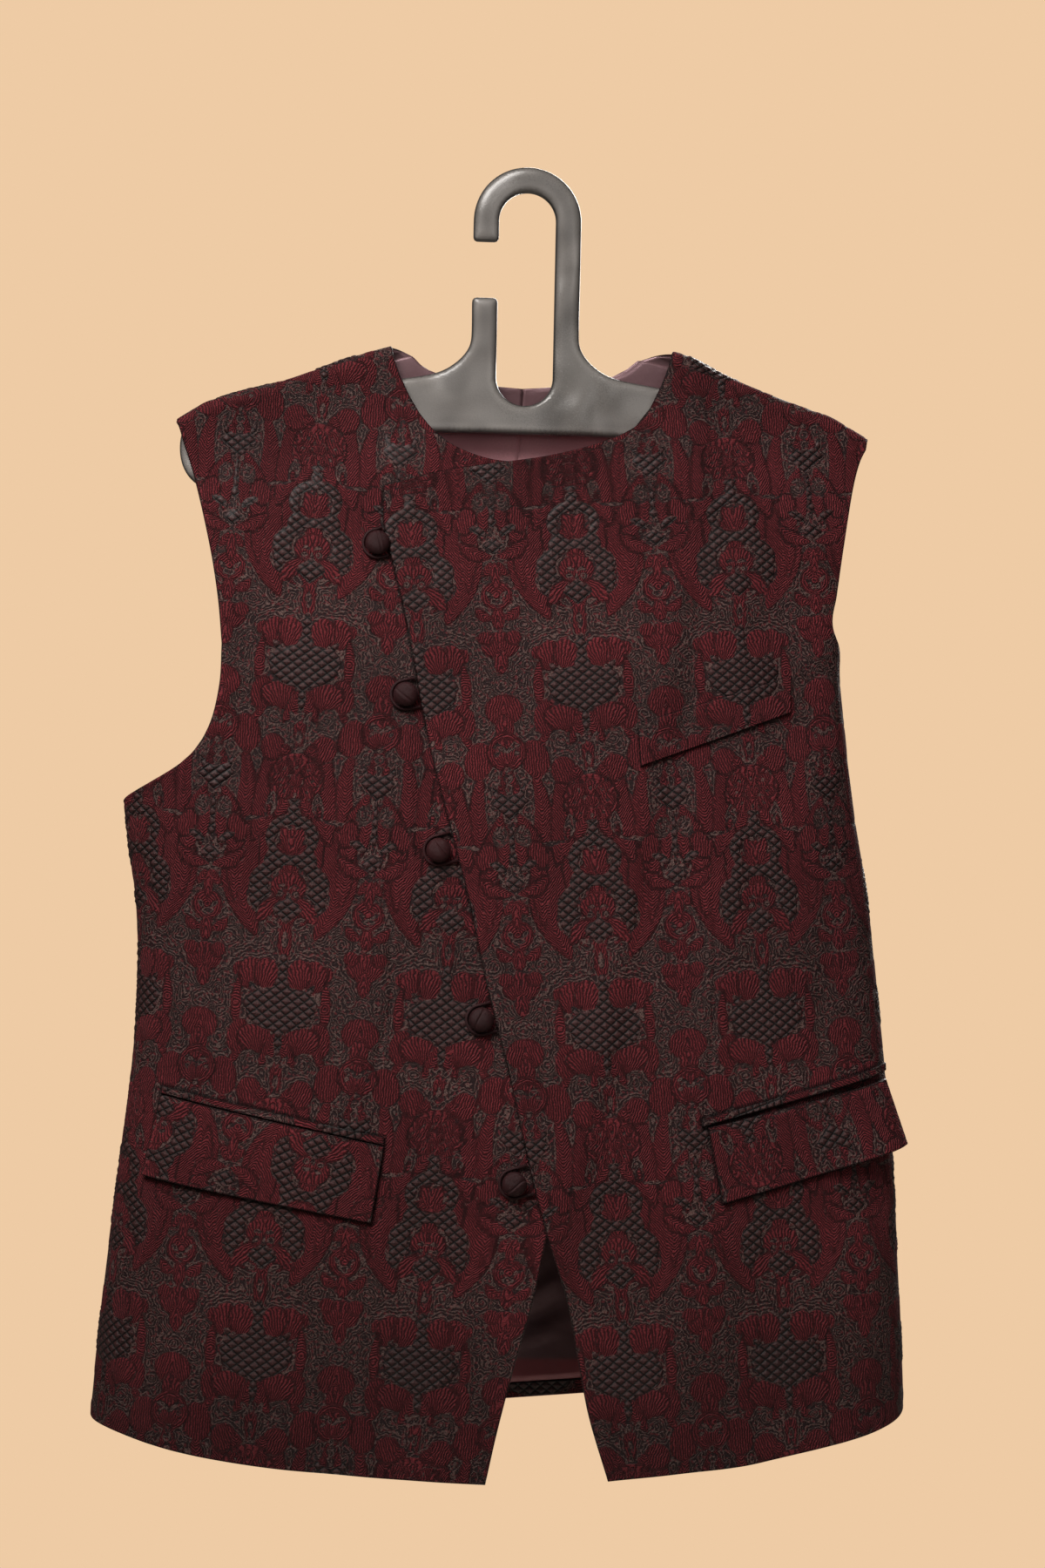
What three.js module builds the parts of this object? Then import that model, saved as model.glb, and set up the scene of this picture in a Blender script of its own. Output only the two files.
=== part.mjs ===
// A man's collarless waistcoat of damask brocade hanging on a flat moulded hanger.
// Millimetres, +Z up. X runs across the front, toward the wearer's left, and the front faces -Y.
// The origin is the inside top of the hanger's hook, where whatever holds the hanger touches it.
import * as THREE from "three";

// Cloth.
const WALL = 2; // front and back panels, with their canvas
const LINING_WALL = 1;
const SEAM_GAP = 0.4; // between neighbouring pieces along a seam
const LAYER_GAP = 0.5; // between a panel and what lies on or in it
const OVERLAP_LIFT = WALL + 0.8; // the over front stands on the under front
const RIDGE_RADIUS = 9; // how the cloth rounds over the shoulder line
const RIDGE_EASE = 80; // the depth under the shoulder line over which the cloth fills out

// Grid steps of the panels.
const FRONT_COLUMNS = 20;
const BACK_COLUMNS = 12;
const ROLL_ROWS = 3;
const CROWDING = 1.7; // how much closer together columns come toward an outer end
const HEM_ROWS = 4; // rows over which a hem's curve dies out upward
const SHOULDER_ROWS = 5; // rows that bend to the shoulder line
const FLAT_ROWS = 3; // rows under the shoulder line over which creases die out

// Buttons and their loops.
const BUTTON_RADIUS = 7.6;
const BUTTON_SEAT = 0.4;
const BUTTON_SIDES = 16;
const LOOP_REACH = 9; // from the button's centre to the middle of the loop
const LOOP_RADIUS = 0.95;
const LOOP_SIDES = 6;

// Pockets.
const FLAP_WALL = 1.8;
const JET_WALL = 1.4;
const WELT_WALL = 1.6;
const PATCH_GAP = 0.6;

// Hanger.
const HANGER_HALF = 4.5;
const HANGER_BEVEL = 2.2;
const HOOK_INNER = 18;
const HOOK_OUTER = 34;

const table = (columns, rows) =>
  rows.map((row) => Object.fromEntries(columns.map((column, i) => [column, row[i]])));

// The body's cross-section by height: the side limits, how far the front and the back bow out,
// and how square each side is (2 is an ellipse, more is blunter). Above the underarm the side
// limits only shape the bow, for the cloth ends at the armholes.
const SECTIONS = table(
  ["z", "left", "right", "front", "back", "squareLeft", "squareRight"],
  [
    [-830, -262, 256, 63, 54, 2.2, 3.6],
    [-760, -258, 253, 62, 52, 2.2, 3.7],
    [-700, -253, 249.5, 61, 50, 2.2, 3.8],
    [-650, -248, 246, 60, 48, 2.2, 3.9],
    [-600, -242.5, 242.5, 59, 46, 2.2, 4],
    [-550, -237.5, 237, 56, 42, 2.15, 4],
    [-500, -235, 231, 52, 39, 2.15, 4.1],
    [-450, -237.5, 225, 49, 37, 2.1, 4.2],
    [-420, -242, 220, 47.5, 36, 2.1, 4.2],
    [-390, -246, 214.5, 46, 36, 2.1, 4.2],
    [-340, -252, 208, 42, 33, 2.1, 4.1],
    [-290, -256, 203.5, 38, 30, 2.1, 4],
    [-250, -256, 210, 34, 27, 2.05, 3.6],
    [-200, -254, 232, 27, 22, 2, 3.2],
    [-150, -252, 250, 20, 17, 2, 2.8],
    [-90, -250, 252, 13, 12, 2, 2.6],
  ],
);

// The shoulder line from armhole to armhole, and the level over the open neck.
const RIDGE = table(
  ["x", "z"],
  [
    [-224, -154], [-218, -149], [-205, -140.5], [-197, -136.5], [-178, -130], [-148, -121.5],
    [-113, -108], [-85, -99], [-70, -95], [-40, -92], [0, -91], [50, -92], [80, -94.5],
    [95, -98], [107, -102], [129, -112], [155, -122], [181, -131], [195, -135.5],
    [207, -142], [221, -150], [227, -154],
  ],
);

// Rows of a panel, hem to shoulder. Each runs from its inner edge (front edge, centre back or
// neck) to its outer edge (side seam or armhole). An outer edge is an x, or a distance past the
// side fold where the cloth has turned to the other face. A corner row ends a smooth run.
const ROW = ["innerX", "innerZ", "outerX", "past", "outerZ", "corner"];
const UNDER_ROWS = table(ROW, [
  [-14, -802.5, null, 24, -768, true],
  [-7, -769, null, 24, -738],
  [3, -728, null, 24, -702],
  [13, -691, null, 24, -666],
  [21, -650, null, 24, -628],
  [30, -608, null, 24, -588],
  [41, -552, null, 24, -540],
  [50, -497, null, 24, -494],
  [59, -441, null, 24, -450],
  [69, -378, null, 24, -415],
  [75, -345, null, 24, -392, true],
  [79, -322, null, 3, -390],
  [83, -298, -229, null, -376.5],
  [86, -274, -206, null, -360.5],
  [89, -250, -193, null, -340],
  [92, -222, -187.5, null, -315],
  [97, -191, -186.5, null, -290, true],
  [58, -179.5, -189, null, -265],
  [17, -172.5, -193, null, -240],
  [-20, -170.5, -198, null, -217],
  [-48, -160, -203, null, -197],
  [-66, -142, -208, null, -179],
  [-77, -122, -212.5, null, -166],
  [-83, null, -215.5, null, null, true],
]);
const OVER_ROWS = table(ROW, [
  [61.5, -800, null, 50, -750, true],
  [49, -761, null, 50, -720],
  [42, -728, null, 50, -692],
  [34, -690, null, 50, -660],
  [21, -650, null, 50, -624],
  [9, -608, null, 50, -586],
  [-4, -553, null, 50, -538],
  [-19, -497, null, 50, -492],
  [-32, -441, null, 50, -448],
  [-47, -387, null, 50, -414],
  [-56, -354, null, 50, -389, true],
  [-62, -328, null, 38, -371],
  [-67, -302, null, 24, -349],
  [-73, -272, null, 12, -324],
  [-80, -244, null, 1, -299],
  [-87, -218, 198, null, -273],
  [-88.5, -190, 199.5, null, -249, true],
  [-55, -180.5, 202, null, -228],
  [-20, -174, 204.5, null, -211],
  [15, -168, 207, null, -196],
  [48, -158.5, 209.5, null, -182],
  [70, -147, 212, null, -171],
  [83, -127, 214.5, null, -163],
  [91, null, 217.5, null, null, true],
]);
const BACK_RIGHT_ROWS = table(ROW, [
  [-22, -773, null, 24, -768, true],
  [-21, -740, null, 24, -738],
  [-20.5, -702, null, 24, -702],
  [-20, -664, null, 24, -666],
  [-18, -625, null, 24, -628],
  [-16, -584, null, 24, -588],
  [-14, -536, null, 24, -540],
  [-12, -490, null, 24, -494],
  [-11, -445, null, 24, -450],
  [-10, -410, null, 24, -415],
  [-10, -382, null, 24, -392, true],
  [-9, -350, -223, null, -385],
  [-8, -315, -207, null, -371],
  [-7, -280, -194, null, -350],
  [-6, -250, -185, null, -325],
  [-4, -222, -181, null, -296],
  [-3, -195, -180, null, -266],
  [-2, -170, -182, null, -239],
  [-1, -146, -186, null, -216],
  [0, -122.5, -192, null, -197, true],
  [-33, -120, -199, null, -181],
  [-59, -113.5, -206, null, -169],
  [-71, null, -214, null, null, true],
]);
const BACK_LEFT_ROWS = table(ROW, [
  [-22, -773, null, 50, -750, true],
  [-21, -740, null, 50, -720],
  [-20.5, -702, null, 50, -692],
  [-20, -664, null, 50, -660],
  [-18, -625, null, 50, -624],
  [-16, -584, null, 50, -586],
  [-14, -536, null, 50, -538],
  [-12, -490, null, 50, -492],
  [-11, -445, null, 50, -448],
  [-10, -410, null, 50, -414],
  [-10, -382, null, 50, -389, true],
  [-9, -350, 176, null, -382],
  [-8, -315, 170, null, -364],
  [-7, -280, 168, null, -338],
  [-6, -250, 168, null, -309],
  [-4, -222, 171, null, -282],
  [-3, -195, 176, null, -257],
  [-2, -170, 182, null, -234],
  [-1, -146, 189, null, -213],
  [0, -122.5, 196, null, -196, true],
  [33, -119.5, 203, null, -181],
  [60, -112.5, 209, null, -168],
  [74, null, 216, null, null, true],
]);

// How far a hem leaves the straight line between its ends, by share of its width.
const UNDER_HEM = table(["u", "z"], [
  [0, 0], [0.12, -2.2], [0.27, -5.5], [0.42, -8], [0.58, -8.5], [0.72, -6], [0.84, -3], [1, 0],
]);
const OVER_HEM = table(["u", "z"], [
  [0, 0], [0.16, -3], [0.31, -6.5], [0.42, -5.5], [0.54, -3.8], [0.66, -0.8], [0.79, 3.5],
  [0.87, 4.5], [1, 0],
]);
const BACK_HEM = table(["u", "z"], [[0, 0], [0.5, -1.5], [1, 0]]);

// Soft ridges and troughs of the hanging cloth: from and to, half width, height. Each starts
// partly risen at its first end and is full after the share of its length given by its growth.
const CREASE_START = 0.35;
const CREASE_GROWTH = 2.2;
const CREASE = ["s0", "z0", "s1", "z1", "wide", "high"];
const CREASES = table(CREASE, [
  [-112, -352, -84, -470, 13, 2.2],
  [-84, -470, -98, -585, 13, 1.8],
  [116, -360, 124, -470, 14, 2],
  [124, -470, 116, -580, 14, 1.8],
  [-196, -640, -212, -800, 26, 3.4],
  [-120, -660, -112, -800, 24, -2.6],
  [-48, -690, -44, -800, 22, 2],
  [92, -700, 96, -800, 22, 2.2],
  [150, -660, 158, -800, 24, -2.4],
  [214, -640, 226, -790, 24, 3],
  [-150, -250, -170, -360, 24, -2.6],
  [158, -240, 172, -330, 22, -2.2],
  [-150, -180, -120, -260, 26, 1.8],
  [150, -170, 130, -250, 26, 1.8],
  [-420, -560, -404, -770, 34, 4],
  [-340, -500, -336, -770, 32, -3.4],
  [420, -540, 412, -750, 34, 3.6],
  [350, -480, 346, -760, 32, -3],
]);

const smooth = (t) => {
  const c = Math.min(1, Math.max(0, t));
  return c * c * (3 - 2 * c);
};
const mix = (a, b, t) => a + (b - a) * t;
const ramp = (at, { from, to }) => smooth((at - from) / (to - from));

/** The value of one column at a key, along a smooth curve through the rows. */
function follow(rows, key, at, column) {
  const rising = rows[rows.length - 1][key] > rows[0][key];
  let i = 0;
  while (i < rows.length - 2 && (rising ? rows[i + 1][key] < at : rows[i + 1][key] > at)) i += 1;
  const a = rows[i];
  const b = rows[i + 1];
  const span = b[key] - a[key];
  const slope = (p, q) => (q[column] - p[column]) / (q[key] - p[key]);
  const before = i > 0 ? slope(rows[i - 1], b) : slope(a, b);
  const after = i + 2 < rows.length ? slope(a, rows[i + 2]) : slope(a, b);
  const t = Math.min(1, Math.max(0, (at - a[key]) / span));
  const t2 = t * t;
  const t3 = t2 * t;
  return (
    (2 * t3 - 3 * t2 + 1) * a[column] + (t3 - 2 * t2 + t) * span * before +
    (3 * t2 - 2 * t3) * b[column] + (t3 - t2) * span * after
  );
}

const ridgeAt = (x) => follow(RIDGE, "x", x, "z");

/** A closed section at a height, walked from the right fold over the back, the left fold, the
 *  front and the right fold to the back again. The walk's zero is the front where x is 0. */
const LOOP_STEPS = 90; // per quarter turn
const sectionCache = new Map();
function sectionAt(z) {
  const key = Math.round(z * 50);
  if (sectionCache.has(key)) return sectionCache.get(key);
  const row = Object.fromEntries(
    Object.keys(SECTIONS[0]).map((column) => [column, follow(SECTIONS, "z", z, column)]),
  );
  const middle = (row.left + row.right) / 2;
  const half = (row.right - row.left) / 2;
  const loop = { x: [], y: [], s: [] };
  for (let i = -LOOP_STEPS; i <= 5 * LOOP_STEPS; i += 1) {
    const angle = (i / LOOP_STEPS) * (Math.PI / 2);
    const across = Math.sin(angle);
    const deep = Math.cos(angle);
    const power = 2 / (across > 0 ? row.squareLeft : row.squareRight);
    loop.x.push(middle - half * Math.sign(across) * Math.abs(across) ** power);
    loop.y.push((deep > 0 ? row.back : row.front) * Math.sign(deep) * Math.abs(deep) ** power);
    const n = loop.x.length - 1;
    const step = n ? Math.hypot(loop.x[n] - loop.x[n - 1], loop.y[n] - loop.y[n - 1]) : 0;
    loop.s.push((n ? loop.s[n - 1] : 0) + step);
  }
  const zero = whereX(loop, 0, 2 * LOOP_STEPS, 4 * LOOP_STEPS);
  loop.s = loop.s.map((s) => s - zero);
  sectionCache.set(key, loop);
  return loop;
}

/** The walk's length where a stretch of the loop passes an x. */
function whereX(loop, x, from, to) {
  for (let i = from; i < to; i += 1) {
    const a = loop.x[i];
    const b = loop.x[i + 1];
    if ((a - x) * (b - x) <= 0 && a !== b) return mix(loop.s[i], loop.s[i + 1], (x - a) / (b - a));
  }
  return loop.s[to];
}

const FOLD = { left: 2 * LOOP_STEPS, right: 4 * LOOP_STEPS };
const frontS = (z, x) => whereX(sectionAt(z), x, FOLD.left, FOLD.right);
const backS = (z, x, side) =>
  side === "left"
    ? whereX(sectionAt(z), x, 0, FOLD.left)
    : whereX(sectionAt(z), x, FOLD.right, 6 * LOOP_STEPS);
const foldS = (z, side) => sectionAt(z).s[FOLD[side]];

/** A point of the cloth's outer face before its creases. */
function bodyPoint(s, z) {
  const loop = sectionAt(z);
  let low = 0;
  let high = loop.s.length - 1;
  while (high - low > 1) {
    const mid = (low + high) >> 1;
    if (loop.s[mid] <= s) low = mid;
    else high = mid;
  }
  const t = (s - loop.s[low]) / (loop.s[high] - loop.s[low]);
  const x = mix(loop.x[low], loop.x[high], t);
  const y = mix(loop.y[low], loop.y[high], t);
  const depth = smooth((ridgeAt(x) - z - RIDGE_RADIUS) / RIDGE_EASE);
  const out = RIDGE_RADIUS + (Math.abs(y) - RIDGE_RADIUS) * depth;
  return new THREE.Vector3(x, Math.sign(y || -1) * out, z);
}

/** How far the creases move the cloth out at a place. */
function creaseAt(s, z) {
  let sum = 0;
  for (const c of CREASES) {
    const ds = c.s1 - c.s0;
    const dz = c.z1 - c.z0;
    const along = ((s - c.s0) * ds + (z - c.z0) * dz) / (ds * ds + dz * dz);
    const near = Math.min(1, Math.max(0, along));
    const away = Math.hypot(s - c.s0 - near * ds, z - c.z0 - near * dz);
    sum += c.high * Math.exp(-((away / c.wide) ** 2)) * smooth(CREASE_START + along * CREASE_GROWTH);
  }
  return sum;
}

/** The rows of a panel as walk lengths and heights, one entry per step of the table. */
function rowsInPlace(rows, side, back) {
  const sOf = (z, x) => (back ? backS(z, x, side) : frontS(z, x));
  const away = side === "left" ? -1 : 1;
  return rows.map((row) => {
    const innerZ = row.innerZ ?? ridgeAt(row.innerX) - RIDGE_RADIUS;
    const outerZ = row.outerZ ?? ridgeAt(row.outerX) - RIDGE_RADIUS;
    const outerS =
      row.past === null
        ? sOf(outerZ, row.outerX)
        : foldS(outerZ, side) + away * (row.past + (back ? SEAM_GAP : 0));
    const innerS = sOf(innerZ, row.innerX) - (back ? (away * SEAM_GAP) / 2 : 0);
    return { innerS, innerZ, outerS, outerZ, corner: row.corner };
  });
}

/** One placed row at a step that may be a fraction, smooth between corner rows. */
function rowAt(placed, step) {
  let first = Math.min(placed.length - 2, Math.floor(step));
  let last = first + 1;
  while (first > 0 && !placed[first].corner) first -= 1;
  while (last < placed.length - 1 && !placed[last].corner) last += 1;
  const run = placed.slice(first, last + 1).map((row, i) => ({ ...row, step: first + i }));
  const value = (column) => follow(run, "step", step, column);
  return {
    innerS: value("innerS"),
    innerZ: value("innerZ"),
    outerS: value("outerS"),
    outerZ: value("outerZ"),
  };
}

/** Shares of a row's width, closer together toward the fold at its outer end. */
function shares(columns, crowd) {
  return Array.from({ length: columns + 1 }, (_, j) => {
    const t = j / columns;
    return mix(t, 1 - (1 - t) ** CROWDING, crowd);
  });
}

/** Where a share of a row lies, with the hem's curve and the shoulder line worked in. */
function placeOnRow(panel, step, u) {
  const { placed, hem } = panel;
  const row = rowAt(placed, step);
  const s = mix(row.innerS, row.outerS, u);
  let z = mix(row.innerZ, row.outerZ, u);
  z += follow(hem, "u", u, "z") * smooth(1 - step / HEM_ROWS);
  const last = placed.length - 1;
  const end = placed[last];
  const endS = mix(end.innerS, end.outerS, u);
  const endZ = mix(end.innerZ, end.outerZ, u);
  const endX = bodyPoint(endS, endZ).x;
  z += (ridgeAt(endX) - RIDGE_RADIUS - endZ) * smooth((step - last + SHOULDER_ROWS) / SHOULDER_ROWS);
  return { s, z };
}

/** The outward direction of the cloth at a place. */
function bodyNormal(s, z) {
  const along = bodyPoint(s + 1, z).sub(bodyPoint(s - 1, z));
  const up = bodyPoint(s, z + 1).sub(bodyPoint(s, z - 1));
  return along.cross(up).normalize();
}

/** A point of the roll over the shoulder line, by its angle up from the front or back face. */
function rollPoint(x, angle, back) {
  const y = (back ? 1 : -1) * RIDGE_RADIUS * Math.cos(angle);
  return new THREE.Vector3(x, y, ridgeAt(x) - RIDGE_RADIUS * (1 - Math.sin(angle)));
}
function rollNormal(x, angle, back) {
  const slope = (ridgeAt(x + 1) - ridgeAt(x - 1)) / 2;
  const y = (back ? 1 : -1) * Math.cos(angle);
  return new THREE.Vector3(-slope * Math.sin(angle), y, Math.sin(angle)).normalize();
}

/** The outer face of a panel: its rows up to the shoulder, then the roll over it to the seam. */
function panelFace(panel) {
  const { columns, crowd, back, roll, lift } = panel;
  const steps = panel.placed.length - 1;
  const across = shares(columns, crowd);
  const points = [];
  const normals = [];
  const places = [];
  for (let i = 0; i <= steps; i += 1) {
    const fade = smooth((steps - i) / FLAT_ROWS);
    places.push(across.map((u) => placeOnRow(panel, i, u)));
    normals.push(places[i].map(({ s, z }) => bodyNormal(s, z)));
    points.push(
      places[i].map(({ s, z }, j) => {
        const rise = creaseAt(s, z) * fade + (lift ? lift(s, z) : 0);
        return bodyPoint(s, z).addScaledVector(normals[i][j], rise);
      }),
    );
  }
  const start = places[steps].map(({ s, z }) => bodyPoint(s, z).x);
  for (let k = 1; k <= ROLL_ROWS; k += 1) {
    const ends = across.map((u, j) => ({
      x: mix(start[j], mix(roll.neckX, roll.tipX, u), k / ROLL_ROWS),
      angle: THREE.MathUtils.degToRad((mix(roll.neck, roll.tip, u) * k) / ROLL_ROWS),
    }));
    normals.push(ends.map(({ x, angle }) => rollNormal(x, angle, back)));
    points.push(
      ends.map(({ x, angle }, j) => {
        const place = places[steps][j];
        const rise = (lift ? lift(place.s, place.z) : 0) * (1 - k / ROLL_ROWS);
        return rollPoint(x, angle, back).addScaledVector(normals[steps + k][j], rise);
      }),
    );
  }
  return { points, normals, places };
}

/** A face moved along its normals. */
const moved = ({ points, normals }, distance) =>
  points.map((row, i) => row.map((p, j) => p.clone().addScaledVector(normals[i][j], distance)));

/** A closed sheet between two grids of the same size. */
function between(outer, inner) {
  const rows = outer.length;
  const columns = outer[0].length;
  const points = [...outer.flat(), ...inner.flat()];
  const index = [];
  const at = (i, j, layer) => layer * rows * columns + i * columns + j;
  const quad = (a, b, c, d) => index.push(a, b, c, a, c, d);
  for (let i = 0; i < rows - 1; i += 1) {
    for (let j = 0; j < columns - 1; j += 1) {
      quad(at(i, j, 0), at(i, j + 1, 0), at(i + 1, j + 1, 0), at(i + 1, j, 0));
      quad(at(i, j, 1), at(i + 1, j, 1), at(i + 1, j + 1, 1), at(i, j + 1, 1));
    }
  }
  for (let j = 0; j < columns - 1; j += 1) {
    quad(at(0, j, 0), at(0, j, 1), at(0, j + 1, 1), at(0, j + 1, 0));
    quad(at(rows - 1, j, 0), at(rows - 1, j + 1, 0), at(rows - 1, j + 1, 1), at(rows - 1, j, 1));
  }
  for (let i = 0; i < rows - 1; i += 1) {
    quad(at(i, 0, 0), at(i + 1, 0, 0), at(i + 1, 0, 1), at(i, 0, 1));
    quad(at(i, columns - 1, 0), at(i, columns - 1, 1), at(i + 1, columns - 1, 1),
      at(i + 1, columns - 1, 0));
  }
  return solid(points, index);
}

/** A geometry from points and triangles, turned so that its faces look outward. */
function solid(points, index) {
  let volume = 0;
  for (let i = 0; i < index.length; i += 3) {
    const [a, b, c] = [points[index[i]], points[index[i + 1]], points[index[i + 2]]];
    volume += a.dot(b.clone().cross(c));
  }
  if (volume < 0) {
    for (let i = 0; i < index.length; i += 3) {
      [index[i + 1], index[i + 2]] = [index[i + 2], index[i + 1]];
    }
  }
  const geometry = new THREE.BufferGeometry().setFromPoints(points);
  geometry.setIndex(index);
  geometry.computeVertexNormals();
  return geometry;
}

/** The over front stands on the under front as far as the under front's hidden edge, and comes
 *  down to the body beyond it and in the open V at the hem. */
const OVERLAP_FOOT = { from: -720, to: -670 };
const OVERLAP_PAST = { full: 6, none: 26 };
const NECK_CORNER_Z = -191;
const HIDDEN_EDGE = UNDER_ROWS.filter(({ innerZ }) => innerZ !== null && innerZ <= NECK_CORNER_Z);
const hiddenEdgeAt = (z) => follow(HIDDEN_EDGE, "innerZ", Math.min(NECK_CORNER_Z, z), "innerX");
const overlapLift = (s, z) => {
  const past = s - hiddenEdgeAt(z);
  const under = ramp(past, { from: OVERLAP_PAST.none, to: OVERLAP_PAST.full });
  return OVERLAP_LIFT * ramp(z, OVERLAP_FOOT) * under;
};

const group = new THREE.Group();
group.name = "vest_on_hanger";
const COLOURS = {
  brocade: 0x54222c, underside: 0x4c1f29, lining: 0x6a4250, cord: 0x5c2731, hanger: 0x6f6d69,
};
function add(name, geometry, colour, roughness = 0.8) {
  const material = new THREE.MeshStandardMaterial({ color: colour, roughness });
  material.name = `${name}_material`;
  const mesh = new THREE.Mesh(geometry, material);
  mesh.name = name;
  group.add(mesh);
}

// Panels.
const panel = (rows, side, back, hem, roll, lift) => ({
  placed: rowsInPlace(rows, side, back), side, back, hem, roll, lift,
  columns: back ? BACK_COLUMNS : FRONT_COLUMNS, crowd: back ? 0.5 : 0.8,
});
const PANELS = {
  front_right: panel(UNDER_ROWS, "left", false, UNDER_HEM,
    { neck: 104, tip: 58, neckX: -85, tipX: -218.5 }),
  front_left: panel(OVER_ROWS, "right", false, OVER_HEM,
    { neck: 104, tip: 96, neckX: 94.5, tipX: 220.5 }, overlapLift),
  back_right: panel(BACK_RIGHT_ROWS, "left", true, BACK_HEM,
    { neck: 73, tip: 119, neckX: -85, tipX: -218.5 }),
  back_left: panel(BACK_LEFT_ROWS, "right", true, BACK_HEM,
    { neck: 73, tip: 81, neckX: 94.5, tipX: 220.5 }),
};
const FACES = Object.fromEntries(
  Object.entries(PANELS).map(([name, made]) => [name, panelFace(made)]),
);
for (const [name, face] of Object.entries(FACES)) {
  add(name, between(face.points, moved(face, -WALL)), COLOURS.brocade);
}

// Inside each back: its hem turned up, and above that its half of the lining.
const EDGE_INSET = 0.985; // they stop just short of the side seams and the armholes
const HEM_TOP = 0.31; // in steps of the backs' rows
function insideBack(back, steps) {
  const last = back.placed.length - 1;
  const rows = steps.map((step) =>
    shares(BACK_COLUMNS, back.crowd).map((u) => {
      const { s, z } = placeOnRow(back, step, Math.min(u, EDGE_INSET));
      const rise = creaseAt(s, z) * smooth((last - step) / FLAT_ROWS);
      return { point: bodyPoint(s, z), normal: bodyNormal(s, z), rise };
    }),
  );
  const face = (depth) =>
    rows.map((row) =>
      row.map((at) => at.point.clone().addScaledVector(at.normal, at.rise - depth)),
    );
  const depth = WALL + LAYER_GAP;
  return between(face(depth), face(depth + LINING_WALL));
}
for (const side of ["right", "left"]) {
  const back = PANELS[`back_${side}`];
  const upward = back.placed.slice(1).map((_, i) => i + 1);
  add(`turned_hem_${side}`, insideBack(back, [0.02, HEM_TOP]), COLOURS.underside);
  add(`lining_${side}`, insideBack(back, [HEM_TOP + 0.02, ...upward]), COLOURS.lining, 0.4);
}

/** The cloth under a place, on a panel's own flat facets. */
function onPanel(name, s, z) {
  const { points, normals, places } = FACES[name];
  for (let i = 0; i < PANELS[name].placed.length - 1; i += 1) {
    for (let j = 0; j < points[0].length - 1; j += 1) {
      const corners = [[i, j], [i, j + 1], [i + 1, j + 1], [i + 1, j]];
      for (const [a, b, c] of [[0, 1, 2], [0, 2, 3]]) {
        const [p, q, r] = [corners[a], corners[b], corners[c]].map(([m, n]) => places[m][n]);
        const area = (q.s - p.s) * (r.z - p.z) - (r.s - p.s) * (q.z - p.z);
        const v = ((s - p.s) * (r.z - p.z) - (r.s - p.s) * (z - p.z)) / area;
        const w = ((q.s - p.s) * (z - p.z) - (s - p.s) * (q.z - p.z)) / area;
        if (v < -1e-6 || w < -1e-6 || v + w > 1 + 1e-6) continue;
        const share = [1 - v - w, v, w];
        const blend = (grid) =>
          [corners[a], corners[b], corners[c]].reduce(
            (sum, [m, n], k) => sum.addScaledVector(grid[m][n], share[k]),
            new THREE.Vector3(),
          );
        return { point: blend(points), normal: blend(normals).normalize() };
      }
    }
  }
  throw new Error(`${name} has no cloth at ${s}, ${z}`);
}

/** A flat piece laid on a panel. Its corners are the inner top, outer top, outer bottom and
 *  inner bottom, as walk lengths and heights. `stand` is how far it stands off at a share. */
function laidOn(name, corners, columns, rows, wall, stand) {
  const [it, ot, ob, ib] = corners;
  const grid = Array.from({ length: rows + 1 }, (_, i) =>
    Array.from({ length: columns + 1 }, (_, j) => {
      const [u, v] = [j / columns, i / rows];
      const s = mix(mix(it.s, ot.s, u), mix(ib.s, ob.s, u), v);
      const z = mix(mix(it.z, ot.z, u), mix(ib.z, ob.z, u), v);
      return { ...onPanel(name, s, z), off: PATCH_GAP + stand(u, v) };
    }),
  );
  const face = (extra) =>
    grid.map((row) => row.map((at) => at.point.clone().addScaledVector(at.normal, at.off + extra)));
  return between(face(wall), face(0));
}
const place = (x, z) => ({ s: frontS(z, x), z });
const beside = (from, along, z) => ({ s: from.s + along, z });

// Pockets: two jetted ones with a hanging flap, and a breast pocket with a welt. The left flap
// runs on past the body's side and stands off it there.
const JET_TALL = 5;
const lower = (at, by) => ({ s: at.s, z: at.z - by });
const FLAPS = {
  right: {
    on: "front_right", jet: [place(-80, -591), place(-217, -564)],
    top: [place(-80, -596.5), place(-217, -569.5)], bottom: [place(-87, -643.5), place(-227, -619.5)],
    tip: 0, flare: 1.5,
  },
  left: {
    on: "front_left", jet: [place(115, -577), beside(place(115, -577), 122, -543)],
    top: [place(119, -582.5), beside(place(119, -582.5), 117, -553)],
    bottom: [place(129, -629), beside(place(129, -629), 116, -594.5)],
    tip: 1.5, flare: 9,
  },
};
for (const [side, { on, jet, top, bottom, tip, flare }] of Object.entries(FLAPS)) {
  const under = [lower(jet[1], JET_TALL), lower(jet[0], JET_TALL)];
  const end = (u) => smooth((u - 0.5) / 0.5);
  add(`jet_${side}`, laidOn(on, [...jet, ...under], 14, 1, JET_WALL, (u) => tip * end(u)),
    COLOURS.brocade);
  const stand = (u, v) => 0.8 * v + end(u) * mix(tip, flare, v);
  add(`flap_${side}`, laidOn(on, [...top, bottom[1], bottom[0]], 14, 4, FLAP_WALL, stand),
    COLOURS.brocade);
}
add(
  "breast_welt",
  laidOn("front_left", [place(72, -334.5), place(169, -302), place(169, -325), place(74, -361)],
    10, 2, WELT_WALL, () => 0),
  COLOURS.brocade,
);

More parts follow.
